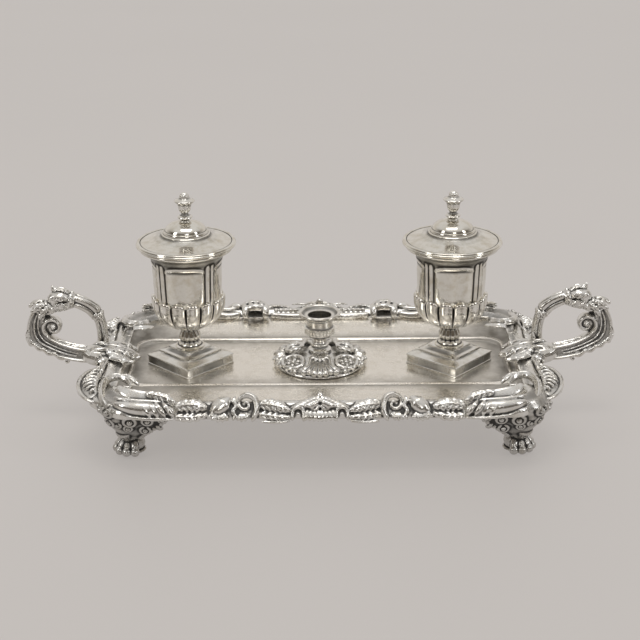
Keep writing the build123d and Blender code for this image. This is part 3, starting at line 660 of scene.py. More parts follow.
def big_scroll(face):
    face.sweep([(49.4, 1.4, 1.0), (48.4, 5.2, 1.6), (44.6, 7.2, 2.0), (40.6, 5.8, 2.2),
                (38.4, 2.0, 2.2), (38.4, -2.6, 2.0), (39.8, -6.4, 1.6), (41.2, -9.4, 0.6)],
               [1.0, 1.6, 2.0, 2.1, 2.1, 2.0, 1.7, 1.2])
    face.sweep([(49.4, 1.4, 1.0), (48.4, 5.2, 3.0), (44.6, 7.2, 3.6), (40.6, 5.8, 4.0),
                (38.4, 2.0, 4.0), (38.4, -2.6, 3.6), (39.8, -6.4, 3.0), (41.2, -9.4, 1.6)],
               [0.6, 0.8, 0.9, 0.9, 0.9, 0.9, 0.8, 0.6])
    face.curl(45.2, 1.2, 1.6, (3.9, 0.9), (20, -330), [1.3, 1.2, 1.0, 0.9])
    face.sweep([(43.5, -3.6, 0.6), (45.5, -6.2, 0.8), (45.0, -9.0, 0.4)], [2.0, 2.4, 1.4], [1.2, 1.4, 1.0])
    face.ribs((47.0, -2.8), [(44.6, -9.0), (47.4, -9.8), (50.2, -9.0)], 0.8, 1.3, 1.2)


def bud(face):
    face.sweep([(51.2, 6.8, 1.2), (52.4, 3.4, 1.8), (50.8, 0.4, 1.7), (52.8, -2.8, 1.8),
                (51.4, -5.8, 1.5), (53.0, -8.8, 0.8)], [1.0, 1.35, 1.2, 1.35, 1.2, 1.0])
    face.sweep([(67.2, -4.6, 0.2), (63.0, -1.8, 0.8), (58.6, 2.0, 1.2), (54.4, 6.2, 1.0)],
               [1.6, 4.8, 5.0, 1.4], [1.4, 3.8, 4.0, 1.4], sides=18)
    face.ribs((59.5, -2.0), [(55.6, -9.0), (58.8, -9.9), (62.2, -9.8), (65.6, -8.8),
                             (68.4, -7.0)], 0.8, 1.6, 1.2)
    face.sweep([(54.8, -6.0, 1.6), (58.6, -6.8, 2.2), (63.0, -6.6, 2.0), (67.8, -4.6, 1.0)],
               [0.6, 0.8, 0.8, 0.6])


def feather_leaf(face):
    face.leaf([(88, -6.0, 0.2), (82, -6.6, 0.8), (75, -6.2, 0.8), (68.0, -4.6, 0.4)],
              [2.2, 3.0, 3.2, 1.2], thick=1.3, lobes=5, bite=0.36)
    face.leaf([(88, -0.8, 0.6), (82, 0.8, 1.4), (75, 0.6, 1.8), (68.0, -1.0, 0.9)],
              [3.0, 5.0, 5.2, 1.6], thick=1.7, lobes=6, bite=0.34)


def make_long_border(name, sy):
    shape = Shape()
    mid = RIM_MID_Y * sy
    path = [(x, mid) for x in np.linspace(-LONG_END, LONG_END, 60)]
    rail(shape, path, [(0, sy)] * len(path))
    run = Run(shape, (0, mid), o_axis=(0, sy))
    for hand in (-1, 1):
        face = Face(run, hand)
        palmette(face)
        veined_leaf(face)
        big_scroll(face)
        bud(face)
        feather_leaf(face)
    if sy > 0:
        back_crest(shape, mid)
    casting(name, shape, cast_silver)


def back_crest(shape, mid):
    """What the tray side of the far border shows: leaf bars, arched legs and a winged shell."""
    for hand in (-1, 1):
        run = Run(shape, (0, mid), (hand, 0))
        run.sweep([(0, -1.5, 14.2), (5, -1.5, 14.0), (10, -1.0, 12.6),
                   (15, -0.5, 12.8), (20, 0.5, 11.6)], [1.7, 1.7, 1.4, 1.2, 0.5],
                  [0.9, 0.9, 0.8, 0.8, 0.5])
        run.sweep([(2, -1.8, 11.0), (8, -2.4, 9.4), (15, -2.4, 8.8)], [1.4, 1.5, 0.9])
        run.sweep([(3, -3.4, 7.4), (12, -5.8, 5.6), (22, -6.0, 5.4),
                   (35, -5.0, 6.2)], [2.0, 2.4, 2.3, 1.8])
        for k in range(5):
            run.bead(17 + 3.4 * k, -2.6, 8.6, 1.7)
        for s in (38.0, 52.0):
            run.sweep([(s, 1.6, 11.0), (s, -5.4, 9.6),
                       (s, -8.6, 4.8)], [2.4, 2.8, 2.2])
        run.sweep([(36.5, -3.6, 9.8), (45, -5.2, 12.0),
                   (53.5, -3.6, 9.8)], [2.2, 2.8, 2.2])
        for k in range(3):
            s = 40.5 + 3.6 * k
            run.sweep([(s - 2.4, -6.0, 10.2), (s, -4.0, 13.2),
                       (s + 2.4, 1.0, 13.4)], [0.9, 1.4, 1.0])
        run.leaf([(38, 0.6, 10.8), (44, -0.4, 13.0), (50, 0.2, 12.8),
                  (56, 1.0, 9.6)], [2.4, 4.0, 3.6, 1.2], (0, -0.5, 1), thick=1.4,
                 lobes=4, bite=0.4)
        run.sweep([(55, -4.6, 6.8), (65, -6.6, 6.0), (76, -5.4, 7.6),
                   (87, -3.6, 9.2)], [1.9, 2.6, 2.5, 2.1])
        run.sweep([(58, -1.0, 9.6), (68, -1.8, 8.8), (79, -0.8, 10.4),
                   (87, 0.4, 11.2)], [1.3, 1.9, 1.9, 1.5])
    run.bead(0, -2.2, 15.2, 2.3)
    run.bead(0, -2.4, 11.4, 2.8)


def make_end_border(name, sx):
    shape = Shape()
    mid = RIM_MID_X * sx
    path = [(mid, y) for y in np.linspace(-SHORT_END, SHORT_END, 40)]
    rail(shape, path, [(sx, 0)] * len(path), lower=0.8)
    run = Run(shape, (mid, 0), (0, 1), (sx, 0))
    for hand in (-1, 1):
        face = Face(run, hand)
        face.leaf([(12, 0.8, 0.6), (19, 1.4, 1.5), (27, 0.6, 1.6), (36, -1.6, 0.6)],
                  [2.6, 4.4, 4.4, 1.2], thick=1.3, lobes=5, bite=0.4)
        face.curl(31.5, 2.0, 2.0, (4.2, 1.0), (-60, 300), [1.4, 1.2, 1.0])
        face.ribs((22.0, -1.0), [(15.0, -8.0), (18.6, -9.2), (22.6, -9.6), (26.8, -9.2),
                                 (30.4, -8.0)], 0.8, 1.6, 1.1)
        face.sweep([(38, -5.0, 0.6), (33, -7.4, 1.0), (27.5, -5.6, 1.8), (20, -5.6, 2.0),
                    (12, -7.2, 1.2), (3, -6.0, 1.0)], [1.0, 1.3, 1.1, 1.1, 1.3, 1.0])
        face.sweep([(12.5, 1.0, 1.0), (9.0, -3.6, 1.6), (8.6, -8.8, 0.8)], [1.5, 1.8, 1.2])
    run.bead(0, 10.8, 0.4, 2.6)
    casting(name, shape, cast_silver)


# ---- corners ---------------------------------------------------------------
CORNER_BEND = 16.0        # radius of the border's middle line at a corner


def corner_master():
    """Casting at the back right corner: gadrooned roll, leaf, C-scroll and shell wing."""
    shape = Shape()
    turn_x = RIM_MID_X - CORNER_BEND
    turn_y = RIM_MID_Y - CORNER_BEND
    path = [(x, RIM_MID_Y) for x in np.linspace(LONG_END, turn_x, 16)]
    outward = [(0, 1)] * 16
    for angle in np.linspace(84, 6, 12):
        c, s = heading(angle)
        path.append((turn_x + CORNER_BEND * c, turn_y + CORNER_BEND * s))
        draw_in = 1.0 - 0.5 * (2 * c * s) ** 2
        outward.append((c * draw_in, s * draw_in))
    path += [(RIM_MID_X, y) for y in np.linspace(turn_y, SHORT_END, 10)]
    outward += [(1, 0)] * 10
    rail(shape, path, outward, lower=1.5)
    run = Run(shape)
    face = Face(Run(shape, (0, RIM_MID_Y)), 1)
    face.sweep([(87.5, -2.4, 0.2), (94, -1.8, 1.0), (103, -1.2, 1.5), (112, -0.4, 1.3), (120, 1.4, 0.4),
                (126, 3.4, -1.6)], [1.8, 3.9, 4.6, 4.5, 3.6, 1.6],
               [1.8, 3.4, 4.0, 3.9, 3.2, 1.5], sides=20)
    for k in range(4):
        s = 90.0 + 4.6 * k
        face.sweep([(s + 5.6, 3.0, 3.0), (s + 3.0, -0.6, 5.0 - 0.08 * k), (s + 0.4, -4.2, 4.0),
                    (s - 1.6, -6.6, 1.8)], [0.7, 1.4, 1.5, 0.8], [0.6, 0.8, 0.8, 0.6])
    face.sweep([(88, -7.4, 0.8), (100, -7.6, 1.2), (113, -6.4, 0.6), (123, -3.2, -0.6)],
               [0.9, 1.1, 1.1, 0.8])
    face.sweep([(89, 1.8, 1.0), (99, 3.0, 2.6), (110, 3.6, 2.8), (120, 5.2, 1.6), (126, 7.2, -1.0)],
               [0.8, 1.2, 1.4, 1.3, 0.9])
    face.sweep([(90, 5.0, 0.0), (100, 6.2, 1.0), (110, 7.6, 1.0), (119, 10.4, -0.4), (124, 15.0, -3.0)],
               [1.6, 3.2, 3.6, 3.4, 1.6], [1.0, 1.3, 1.4, 1.2, 0.9], camber=-0.12)
    face.leaf([(106, 8.4, 1.2), (99.5, 7.2, 2.2), (93, 5.4, 2.2), (87.5, 2.4, 0.8)],
              [1.6, 3.4, 3.4, 1.0], thick=1.1, lobes=5, bite=0.3)
    horn = [(130.0, 76.0, 2.6), (133.0, 70.6, 5.2), (134.8, 63.4, 7.6), (135.0, 55.0, 9.4),
            (132.4, 48.2, 10.4), (127.6, 45.2, 10.6), (122.4, 47.0, 9.8), (118.8, 51.2, 8.4),
            (117.6, 55.6, 7.2)]
    for lift, r in ((-0.8, 2.4), (1.1, 1.1)):
        raised = [(x, y, z + lift) for x, y, z in horn]
        run.sweep(raised, [r * k for k in (0.6, 0.85, 1.0, 1.05, 1.05, 1.0, 0.9, 0.75, 0.55)])
    run.scroll((120.6, 54.6, 7.6), (3.2, 0.8), (200, -60), [1.2, 1.0, 0.8], ((1, 0, 0), (0, 1, 0)),
               (0, 0, 1), rise=0.6)
    run.sweep([(131.0, 68, 4.2), (131.0, 58, 5.6), (127, 51.5, 6.2)], [3.6, 4.6, 3.0], [1.0, 1.1, 1.0])
    run.leaf([(128, 42.5, 7.8), (122, 41.5, 8.6), (117, 44.5, 7.6), (113.5, 49.0, 5.4)],
             [2.6, 3.6, 2.8, 0.9], (0, 0, 1), thick=1.0, lobes=3, bite=0.4)
    for angle, z, size in ((64, 2.2, 4.6), (38, 1.6, 3.9), (84, 2.6, 2.8), (16, 1.4, 3.2)):
        c, s = heading(angle)
        reach = CORNER_BEND + 6.6 - 3.0 * (2 * c * s) ** 2
        rosette(run, (turn_x + reach * c, turn_y + reach * s, z), (c, s, 0.1), size)
    blade = [(139.5, 27.0, 6.8), (143.4, 36.0, 7.0), (145.6, 46.0, 6.6), (144.4, 56.0, 5.4),
             (139.4, 65.0, 4.0)]
    run.sweep(blade, [2.4, 6.0, 7.2, 6.6, 3.0], [1.5, 2.4, 2.8, 2.4, 1.5], up=(0.3, 0.1, 1),
              camber=-0.12, sides=18)
    run.sweep([(141.0, 25.0, 7.6), (147.6, 33.0, 8.0), (151.4, 44.6, 7.2), (150.2, 55.0, 5.6),
               (145.6, 63.6, 4.0), (138.6, 68.6, 3.0)], [0.9, 1.4, 1.5, 1.4, 1.3, 0.9])
    for k in range(8):
        y = 32.0 + 4.0 * k
        z = 11.0 - 0.42 * k
        bulge = 10.0 - 0.035 * (y - 46.0) ** 2
        run.sweep([(139.0, y, z), (139.0 + bulge * 0.5, y + 0.8, z + 0.5),
                   (139.0 + bulge, y + 2.4, z - 1.4)], [0.7, 1.1, 1.2])
    return shape


def rosette(run, centre, way, size, petals=0):
    """Ring boss with a ball in it, with petals round the ball if asked for."""
    centre = np.asarray(centre, float)
    way, up, side = axes(way, (0, 0, 1))
    run.scroll(centre, (size * 0.8, size * 0.8), (0, 345), [size * 0.24], (up, side), way)
    for k in range(petals):
        c, s = heading(360 * k / petals)
        run.bead(*(centre + (c * up + s * side) * size * 0.46 + way * size * 0.1), size * 0.2)
    run.bead(*(centre + way * size * 0.1), size * (0.26 if petals else 0.42))


# The foot's bracket, level by level: height, reach of its two arms along the tray's sides, inset
# from the outermost corner, hollow of its inner side, corner radius.
BRACKET_X = 136.0         # its outermost corner
BRACKET_Y = 82.0
BRACKET = [(7.0, 36, 2.4, 8, 17), (2.6, 46, 0.4, 8, 15), (-1, 45, 0.8, 8, 13), (-5, 40, 2.2, 7, 11),
           (-9, 33.5, 4.4, 5, 9), (-13, 26.5, 6.8, 4, 7.5), (-16.5, 20, 9.2, 3, 6), (-19, 15.5, 11.2, 2, 5),
           (-21.5, 12.5, 12.8, 1, 4.5)]


def bracket_ring(z, reach, inset, hollow, radius):
    """One level of the bracket: a rounded corner, two arms, and the hollow side that joins them."""
    x, y = BRACKET_X - inset, BRACKET_Y - inset
    points = [(x - reach + w * (reach - radius), y) for w in np.arange(12) / 12]
    for angle in np.linspace(90, 0, 10):
        c, s = heading(angle)
        points.append((x - radius + radius * c, y - radius + radius * s))
    points += [(x, y - radius - w * (reach - radius)) for w in np.arange(1, 13) / 12]
    for w in np.arange(1, 14) / 14:
        bow = 0.7 * hollow * math.sin(math.pi * w)
        points.append((x - reach * w + bow, y - reach * (1 - w) + bow))
    p = np.array(points)
    soft = (np.roll(p, 1, 0) + p + np.roll(p, -1, 0)) / 3
    return np.column_stack([soft, np.full(len(soft), z)])[::-1]


def bracket_inset(z):
    levels = sorted((row[0], row[2]) for row in BRACKET)
    return float(np.interp(z, *zip(*levels)))


PAW = np.array([118.0, 58.6])           # middle of the paw, in plan
TOES_WAY = 42.0           # degrees, way of the middle toe


def foot_master():
    """Lion's paw under a bracket set with rosettes, at the back right corner."""
    shape = Shape()
    shape.rings([bracket_ring(*level) for level in BRACKET])
    run = Run(shape)
    run.sweep([(122.0, 69.0, -14), (120.5, 65.5, -19), (119.0, 61.5, -23), (118.4, 59.5, -27)],
              [6.6, 5.4, 5.0, 6.2], [6.6, 5.2, 4.8, 6.2], up=(1, 1, 0))
    shape.blob((*PAW, -28.4), (8.0, 8.0, 6.8))
    for k in range(-2, 3):
        way = np.array(heading(TOES_WAY + 31 * k))
        knuckle, toe, claw = (PAW + way * reach for reach in (6.2, 9.9, 12.3))
        run.sweep([(*(PAW + way * 2.5 - (0, 0.2)), -25.6), (*knuckle, -27.4), (*toe, -30.8)],
                  [2.2, 2.7, 2.6], [2.2, 2.9, 2.8])
        run.bead(*toe, -31.4, 2.9)
        run.bead(*knuckle, -27.4, 2.8)
        run.sweep([(*toe, -31.0), (*claw, -33.2)], [1.3, 0.7])
    shape.blob((117.8, 58.4, -33.2), (8.4, 8.4, 1.6))
    for k in range(-2, 3):
        c, s = heading(TOES_WAY + 38 * k)
        run.sweep([(120.6 + c * 5.0, 64.2 + s * 5.0, -14.0), (119.2 + c * 5.6, 61.6 + s * 5.6, -19.0),
                   (118.6 + c * 5.0, 60.0 + s * 5.0, -23.0)], [1.3, 1.5, 0.8])
    for from_corner, z, size in ((17.5, -5.0, 4.6), (28.5, -4.4, 4.0), (22.0, -12.6, 3.8),
                                 (38.0, -3.6, 2.9), (32.5, -10.4, 2.2), (12.5, -11.0, 3.0)):
        x, y = BRACKET_X - bracket_inset(z), BRACKET_Y - bracket_inset(z)
        rosette(run, (x - from_corner, y + 0.4, z), (0.0, 1.0, -0.45), size)
        rosette(run, (x + 0.4, y - from_corner, z), (1.0, 0.0, -0.45), size)
    radius = 12.5           # on which the corner's rosettes stand
    for angle, z, size in ((58, 1.5, 4.6), (30, 1.5, 4.2), (48, -7.0, 3.9), (20, -8.2, 2.9),
                           (70, -8.2, 2.9), (45, -14.0, 2.6)):
        inset = bracket_inset(z) + radius - 0.2
        c, s = heading(angle)
        x = BRACKET_X - inset + (radius + 0.3) * c
        y = BRACKET_Y - inset + (radius + 0.3) * s
        rosette(run, (x, y, z), (c, s, -0.45), size)
    for low, high in zip(BRACKET[1:-1], BRACKET[2:]):
        for k in (0.0, 0.5):
            z = low[0] + (high[0] - low[0]) * k
            reach = low[1] + (high[1] - low[1]) * k - 1.2
            x, y = BRACKET_X - bracket_inset(z), BRACKET_Y - bracket_inset(z)
            run.bead(x - reach, y - 0.2, z, 1.5)
            run.bead(x - 0.2, y - reach, z, 1.5)
    return shape


RIGHT_FEET_OUT = 5.0      # the right feet are soldered on this much nearer the end


def make_corners():
    corner = corner_master()
    foot = foot_master()
    for end, sy in (("front", -1), ("back", 1)):
        for side, sx in (("left", -1), ("right", 1)):
            casting(f"corner_scroll_{end}_{side}", corner.moved(sx, sy), cast_silver)
            placed = foot.moved(sx, sy)
            placed.verts = [v + np.array([RIGHT_FEET_OUT if sx > 0 else 0.0, 0, 0]) for v in placed.verts]
            casting(f"foot_{end}_{side}", placed, foot_silver)


# ---- handles ---------------------------------------------------------------
ACROSS = np.array([0.0, 1.0, 0.0])      # the handle's plane has y across it


def handle_master():
    """Loop handle at the right end: bound reeds, collars, a leafy sleeve, then a channelled C-scroll."""
    shape = Shape()
    run = Run(shape)
    leg = [(145.0, 7.0, 7.0), (143.2, 6.0, 14.0), (142.8, 4.6, 22.0), (143.6, 3.2, 29.0),
           (145.0, 2.4, 34.0)]
    bar = [(145.0, 2.4, 34.6), (148.8, 1.6, 38.8), (154.0, 1.0, 42.4), (160.8, 0.6, 45.2)]
    for line, spread, r in ((leg, 2.1, 1.95), (bar, 2.8, 2.2)):
        tangent = unit(np.gradient(np.array(line), axis=0))
        across = np.cross(tangent, ACROSS)
        for angle in (45, 135, 225, 315):
            c, s = heading(angle)
            run.sweep(line + (across * c + ACROSS * s) * spread, [r * 1.25, r, r, r], sides=10)
    run.sweep([(143.5, 3.6, 8.0), (140.6, 2.6, 14.0), (139.8, 1.0, 20.0)], [2.6, 2.2, 0.8])
    for centre, way, size in (((144.8, 2.6, 33.6), (0.6, 0, 1), 5.0),
                              ((161.6, 0.6, 44.6), (1, 0, 0.25), 6.4)):
        way = unit(way)
        side = np.cross(way, ACROSS)
        for shift, k in ((-1.6, 0.84), (0.0, 1.0), (1.6, 0.84)):
            radius = size * k - 1.3
            run.scroll(centre + way * shift, (radius, radius), (0, 350), [1.35], (side, ACROSS), way)
        shape.blob(centre, size * 0.8)
    rosette(run, (143.8, -3.0, 34.0), (0, -1, 0.2), 3.0, petals=6)
    shape.blob((168.4, 0.4, 45.4), (8.4, 5.6, 6.4), (0, 6, 0))
    sleeve = [(162.4, 0.5, 44.8), (167.0, 0.5, 45.4), (171.2, 0.5, 45.2), (174.8, 0.5, 44.2)]
    reach = np.array([[4.4], [6.6], [6.9], [7.2]])
    for k in range(6):
        out = np.array([-0.12, *heading(30 + 60 * k)])
        run.leaf(sleeve + out * reach, [1.9, 3.4, 3.2, 1.0], out, thick=0.9, lobes=3, bite=0.42)
    run.sweep([(169.6, 0.4, 50.6), (172.0, 0.4, 52.8), (173.0, 0.4, 55.0)], [2.4, 1.7, 0.9])
    for hand in (-1, 1):
        side_run = Run(shape, o_axis=(0, hand))
        side_run.scroll((167.6, 5.4, 47.4), (2.6, 0.7), (0, 400), [1.0, 0.9, 0.7])
        side_run.scroll((175.2, 3.6, 39.4), (3.2, 0.7), (60, -420), [1.2, 1.0, 0.8])
    shape.blob((175.0, 0, 39.6), (4.4, 5.0, 4.4))
    outer = [(175.6, 0.3, 43.4), (180.6, 0.2, 41.6), (185.4, 0, 37.0), (188.4, -0.3, 31.0),
             (189.6, -0.8, 24.0), (188.2, -1.4, 18.0), (184.0, -2.0, 14.2), (178.2, -2.6, 11.2),
             (171.4, -3.2, 8.2), (163.4, -3.8, 6.2), (155.0, -4.6, 5.2), (147.0, -5.4, 5.6)]
    inner = [(174.6, 0.2, 39.4), (177.8, 0.1, 36.6), (179.9, 0, 31.6), (179.7, -0.4, 26.0),
             (177.0, -1.0, 20.8), (172.2, -1.8, 17.6), (166.4, -2.6, 15.2), (159.8, -3.4, 13.4),
             (152.8, -4.2, 12.4), (146.0, -5.0, 12.6)]
    outside, inside = spline(outer, 60), spline(inner, 60)
    share = np.linspace(0, 1, 11)[:, None]
    half = ACROSS * (3.9 - 1.1 * np.sin(math.pi * share))
    web = []
    for p, q in zip(outside, inside):
        middle = p * (1 - share) + q * share
        web.append(np.vstack([middle - half, (middle + half)[::-1]]))
    shape.rings(web)
    for share in (0.36, 0.62):
        vein = (outside * (1 - share) + inside * share)[6:54:4]
        run.sweep(vein, [0.5, 0.75, 0.8, 0.75, 0.5], [3.4, 3.7, 3.8, 3.7, 3.4], up=(0, 1, 0), sides=10)
    run.sweep(outer, [1.7, 1.7, 1.5, 1.5, 1.5, 1.5, 1.4, 1.5, 1.6, 1.7, 1.9],
              [3.6, 4.2, 4.5, 4.5, 4.4, 4.3, 4.3, 4.3, 4.5, 4.6, 4.6], up=(0, 1, 0), sides=14)
    run.sweep(inner, [1.3, 1.4, 1.4, 1.4, 1.4, 1.4, 1.5, 1.6, 1.6, 1.8],
              [3.4, 4.0, 4.4, 4.6, 4.6, 4.5, 4.4, 4.4, 4.6, 4.6], up=(0, 1, 0), sides=14)
    run.scroll((173.6, -0.8, 27.2), (7.0, 1.6), (-62, 400), [1.9, 1.9, 1.7, 1.4], flat=2.5)
    shape.blob((180.4, 0, 39.4), (5.6, 5.2, 4.8), (0, 38, 0))
    knee = [(176.6, 0, 42.4), (180.6, 0, 39.6), (184.4, 0, 35.6)]
    reach = np.array([[3.4], [5.4], [5.8]])
    lean = 0.8
    for k in range(5):
        c, s = heading(60 * k - 60)
        out = np.array([math.sin(lean) * c, -s, math.cos(lean) * c])
        run.leaf(knee + out * reach, [1.8, 3.2, 1.0], out, thick=0.9, lobes=3, bite=0.4)
    shape.blob((173.6, -0.8, 27.2), (5.8, 3.4, 5.8))
    shape.blob((173.6, -0.8, 27.2), (2.4, 4.8, 2.4))
    for hand in (-1, 1):
        y = 3.4 * hand
        frill = [(189.2, y - 0.8, 27.0), (190.6, y - 1.0, 21.0), (189.0, y - 1.2, 16.6),
                 (185.8, y - 1.6, 15.4), (183.6, y - 2.0, 12.6), (180.0, y - 2.4, 12.4),
                 (177.2, y - 2.6, 9.4), (173.2, y - 2.9, 9.6), (169.8, y - 3.2, 6.6),
                 (165.4, y - 3.5, 6.6)]
        run.sweep(frill, [0.9, 1.3, 1.2, 1.3, 1.2, 1.3, 1.2, 1.3, 1.2, 0.9])
    run.scroll((188.4, -1.2, 15.4), (2.0, 0.6), (120, -260), [1.1, 1.0, 0.7], flat=3.2)
    run.scroll((166.2, -3.4, 3.8), (2.2, 0.6), (60, 400), [1.1, 0.9, 0.7], flat=2.6)
    run.leaf([(172, -3.0, 17.4), (165, -3.4, 15.6), (158, -3.9, 14.2), (152, -4.4, 13.6)],
             [1.2, 2.8, 2.6, 0.9], (0, 0, 1), thick=0.9, lobes=4, bite=0.35, veins=False)
    return shape


def root_leaf_master():
    """Knuckle and acanthus leaf that lies in over the tray from the right handle's root."""
    shape = Shape()
    run = Run(shape)
    shape.blob((146.5, -5.0, 8.0), (10.0, 8.4, 6.6), (0, -10, 14))
    shape.blob((145.0, 6.0, 7.4), (6.4, 6.0, 5.8))
    shape.blob((139.5, 0.0, 6.4), (8.6, 10.0, 4.8))
    run.sweep([(153.0, -7.6, 5.4), (147.0, -8.6, 12.2), (140.0, -7.0, 12.8), (135.0, -5.0, 10.4)],
              [1.2, 2.0, 1.8, 0.8])
    run.sweep([(151.0, 0.6, 8.6), (145.0, 0.0, 14.2), (138.5, -0.4, 13.2)], [1.4, 2.2, 1.1])
    run.leaf([(144, -1, 10.4), (136, -1.6, 11.6), (127, -2.4, 9.4), (117.2, -3.4, 4.6)],
             [6.4, 10.6, 8.8, 1.8], (0, 0, 1), thick=1.7, lobes=5, bite=0.48, camber=0.14)
    for hand in (-1, 1):
        run = Run(shape, o_axis=(0, hand))
        run.leaf([(142, 4, 10.4), (134, 9.0, 10.0), (126.5, 11.0, 7.0),
                  (120.5, 10.2, 4.2)], [2.8, 5.0, 4.4, 1.0], (0, 0.4, 1), thick=1.4,
                 lobes=3, bite=0.4, veins=False)
        run.leaf([(145, 6, 9.4), (141, 13.0, 8.4), (136, 17.0, 5.2)],
                 [2.6, 4.2, 1.1], (0, 0.4, 1), thick=1.2, lobes=2, bite=0.4, veins=False)
        run.sweep([(140, 3.0, 12.4), (131, 6.0, 11.4),
                   (122, 7.4, 7.0)], [1.4, 1.5, 0.8])
        run.bead(126.0, 6.2, 9.6, 2.2)
        run.bead(131.5, 10.2, 9.4, 1.9)
    return shape


def make_handles():
    loop = handle_master()
    root = root_leaf_master()
    for side, sx in (("left", -1), ("right", 1)):
        casting(f"handle_{side}", loop.moved(sx, 1), cast_silver, voxel=FINE_VOXEL)
        casting(f"handle_leaf_{side}", root.moved(sx, 1), cast_silver, voxel=FINE_VOXEL)


# ---- urns ------------------------------------------------------------------
def smooth_profile(points, step):
    """Adds points along a profile's straight runs, so that shaping functions have something to move."""
    out = []
    for a, b in zip(points[:-1], points[1:]):
        n = max(1, int(math.hypot(b[0] - a[0], b[1] - a[1]) / step))
        for k in range(n):
            w = k / n
            out.append((a[0] * (1 - w) + b[0] * w, a[1] * (1 - w) + b[1] * w))
    out.append(points[-1])
    return out


def curve(points, count):
    return [tuple(p) for p in spline(np.asarray(points, float), count)]


def phase(theta, count, shift=0.0):
    """Place across the repeated lobe that theta falls in, from -1 at one side to 1 at the other."""
    return (((theta - shift) * count / (2 * math.pi)) % 1.0 - 0.5) * 2


def bell(x, width):
    return np.exp(-((x / width) ** 2))


def flutes(theta, count, sharp):
    """Depth of half-round lobes round a turned piece, from 0 at their middles to 1 in the grooves."""
    return 1 - round_lobe(phase(theta, count) * sharp)


def make_plinth(name, centre, turn):
    side = 20.1
    steps = [(0.985, 0.0), (1.0, 0.25), (1.0, 0.9), (0.985, 1.1), (0.982, 1.3), (0.98, 5.4),
             (0.984, 5.7), (1.0, 5.9), (1.005, 6.3), (1.0, 6.7), (0.985, 6.95), (0.95, 7.2),
             (0.85, 7.85), (0.745, 8.6), (0.735, 8.75), (0.73, 8.8), (0.725, 9.6), (0.715, 9.9),
             (0.69, 10.05), (0.60, 10.4), (0.535, 11.0), (0.505, 11.6), (0.50, 11.75), (0.495, 12.5),
             (0.485, 12.75), (0.45, 12.9), (0.2, 12.95)]
    shape = Shape()
    rings = []
    for k, z in steps:
        rings.append(rounded_ring(side * k, side * k, max(0.25, 0.5 * k), z, 4, 8, centre, turn))
    shape.rings(rings)
    turned(name, shape, plinth_silver, angle=24)


def make_stem(name, centre):
    profile = [(0.6, 12.9)] + curve([(9.2, 12.9), (9.6, 13.4), (9.0, 13.9), (8.0, 14.2)], 8)
    profile += curve([(7.6, 14.5), (7.2, 15.4), (6.3, 16.4), (6.0, 17.2)], 10)
    profile += curve([(6.1, 17.4), (6.9, 18.4), (7.2, 20.0), (6.6, 22.2), (5.9, 24.2), (5.9, 25.2)], 26)
    profile += curve([(6.1, 25.4), (6.8, 25.7), (7.9, 26.4)], 6) + [(0.6, 26.45)]

    def fluted(theta, r, z):
        zone = fade_in(z, 15.0, 1.2) * fade_out(z, 25.4, 1.0)
        return r * (1 - 0.17 * zone * flutes(theta, 12, 0.98)), z

    shape = Shape()
    shape.lathe(profile, centre, 12 * 14, fluted)
    turned(name, shape, turned_silver, angle=60)


LOBES = 14                # round the calyx


def make_calyx(name, centre):
    outer = curve([(7.6, 26.5), (10.4, 27.1), (15.0, 29.6), (19.1, 33.6), (21.0, 37.6), (21.8, 41.6),
                   (22.0, 44.4)], 44)
    lip = curve([(22.1, 45.8), (22.2, 47.2), (21.9, 48.2), (21.5, 48.6), (21.0, 48.3), (20.5, 47.2)], 16)
    profile = [(2.1, 26.5)] + outer + lip + [(20.4, 43.6), (17.0, 38.0), (8.0, 35.9), (2.1, 35.9)]

    def lobed(theta, r, z):
        lobe = round_lobe(phase(theta, LOBES, math.pi / LOBES) * 0.97)
        outside = (r > 7.0) & (r > 21.5 * fade_in(z, 27, 22) ** 0.25 * 0.9)
        reach = np.where(z > 44.0, fade_in(r, 20.7, 0.9), 1.0)
        swell = (0.7 + 3.3 * fade_in(z, 27.0, 14.0)) * (lobe - 0.52) * reach
        new_z = z - fade_in(z, 38.0, 10.0) * 4.6 * (1 - lobe)
        return np.where(outside, r + swell, r), np.where(outside | (z > 44.0), new_z, z)

    shape = Shape()
    shape.lathe(profile, centre, LOBES * 22, lobed)
    turned(name, shape, lobed_silver, angle=70)


def make_cup(name, centre):
    inside = [(19.6, 80.0), (19.6, 47.0), (0.5, 47.0)]
    outer = [(0.5, 36.0), (8.0, 36.0)]
    outer += curve([(8.0, 36.1), (13.6, 37.6), (18.2, 41.0), (20.9, 46.0), (21.6, 54.0), (22.1, 67.0)], 66)
    lip = curve([(22.1, 67.0), (22.3, 70.5), (23.2, 74.2), (25.4, 77.4), (28.2, 79.4)], 24)
    edge = curve([(28.4, 79.5), (29.6, 80.0), (30.0, 80.9), (29.6, 81.8), (28.8, 82.0)], 10)
    profile = outer + lip[1:] + edge + [(22.7, 82.0), (22.6, 81.8), (22.6, 80.0)] + inside

    def panelled(theta, r, z):
        """Four panels: reeds and a groove at their edges, an arch over them, a slight swell."""
        p = phase(theta, 4, math.pi / 4 + math.pi)
        from_edge = (1 - np.abs(p)) * 45.0
        wall = (r > 20.3) & (r < 27) & (z > 42)
        tall = fade_in(z, 45, 3) * fade_out(z, 74, 3.5)
        reeds = 1.35 * bell(from_edge - 4.4, 3.2) * tall
        groove = 0.55 * bell(from_edge - 9.4, 2.4) * tall
        arch_z = 72.0 - 5.5 * np.clip(np.abs(p), 0, 0.8) ** 3
        arch = 0.45 * bell(z - arch_z, 0.9) * fade_in(from_edge, 7, 3)
        swell = 0.35 * (1 - p**2) * fade_in(z, 46, 6) * fade_out(z, 70, 5)
        return np.where(wall, r + reeds - groove + arch + swell, r), z

    shape = Shape()
    shape.lathe(profile, centre, 288, panelled)
    turned(name, shape, turned_silver)


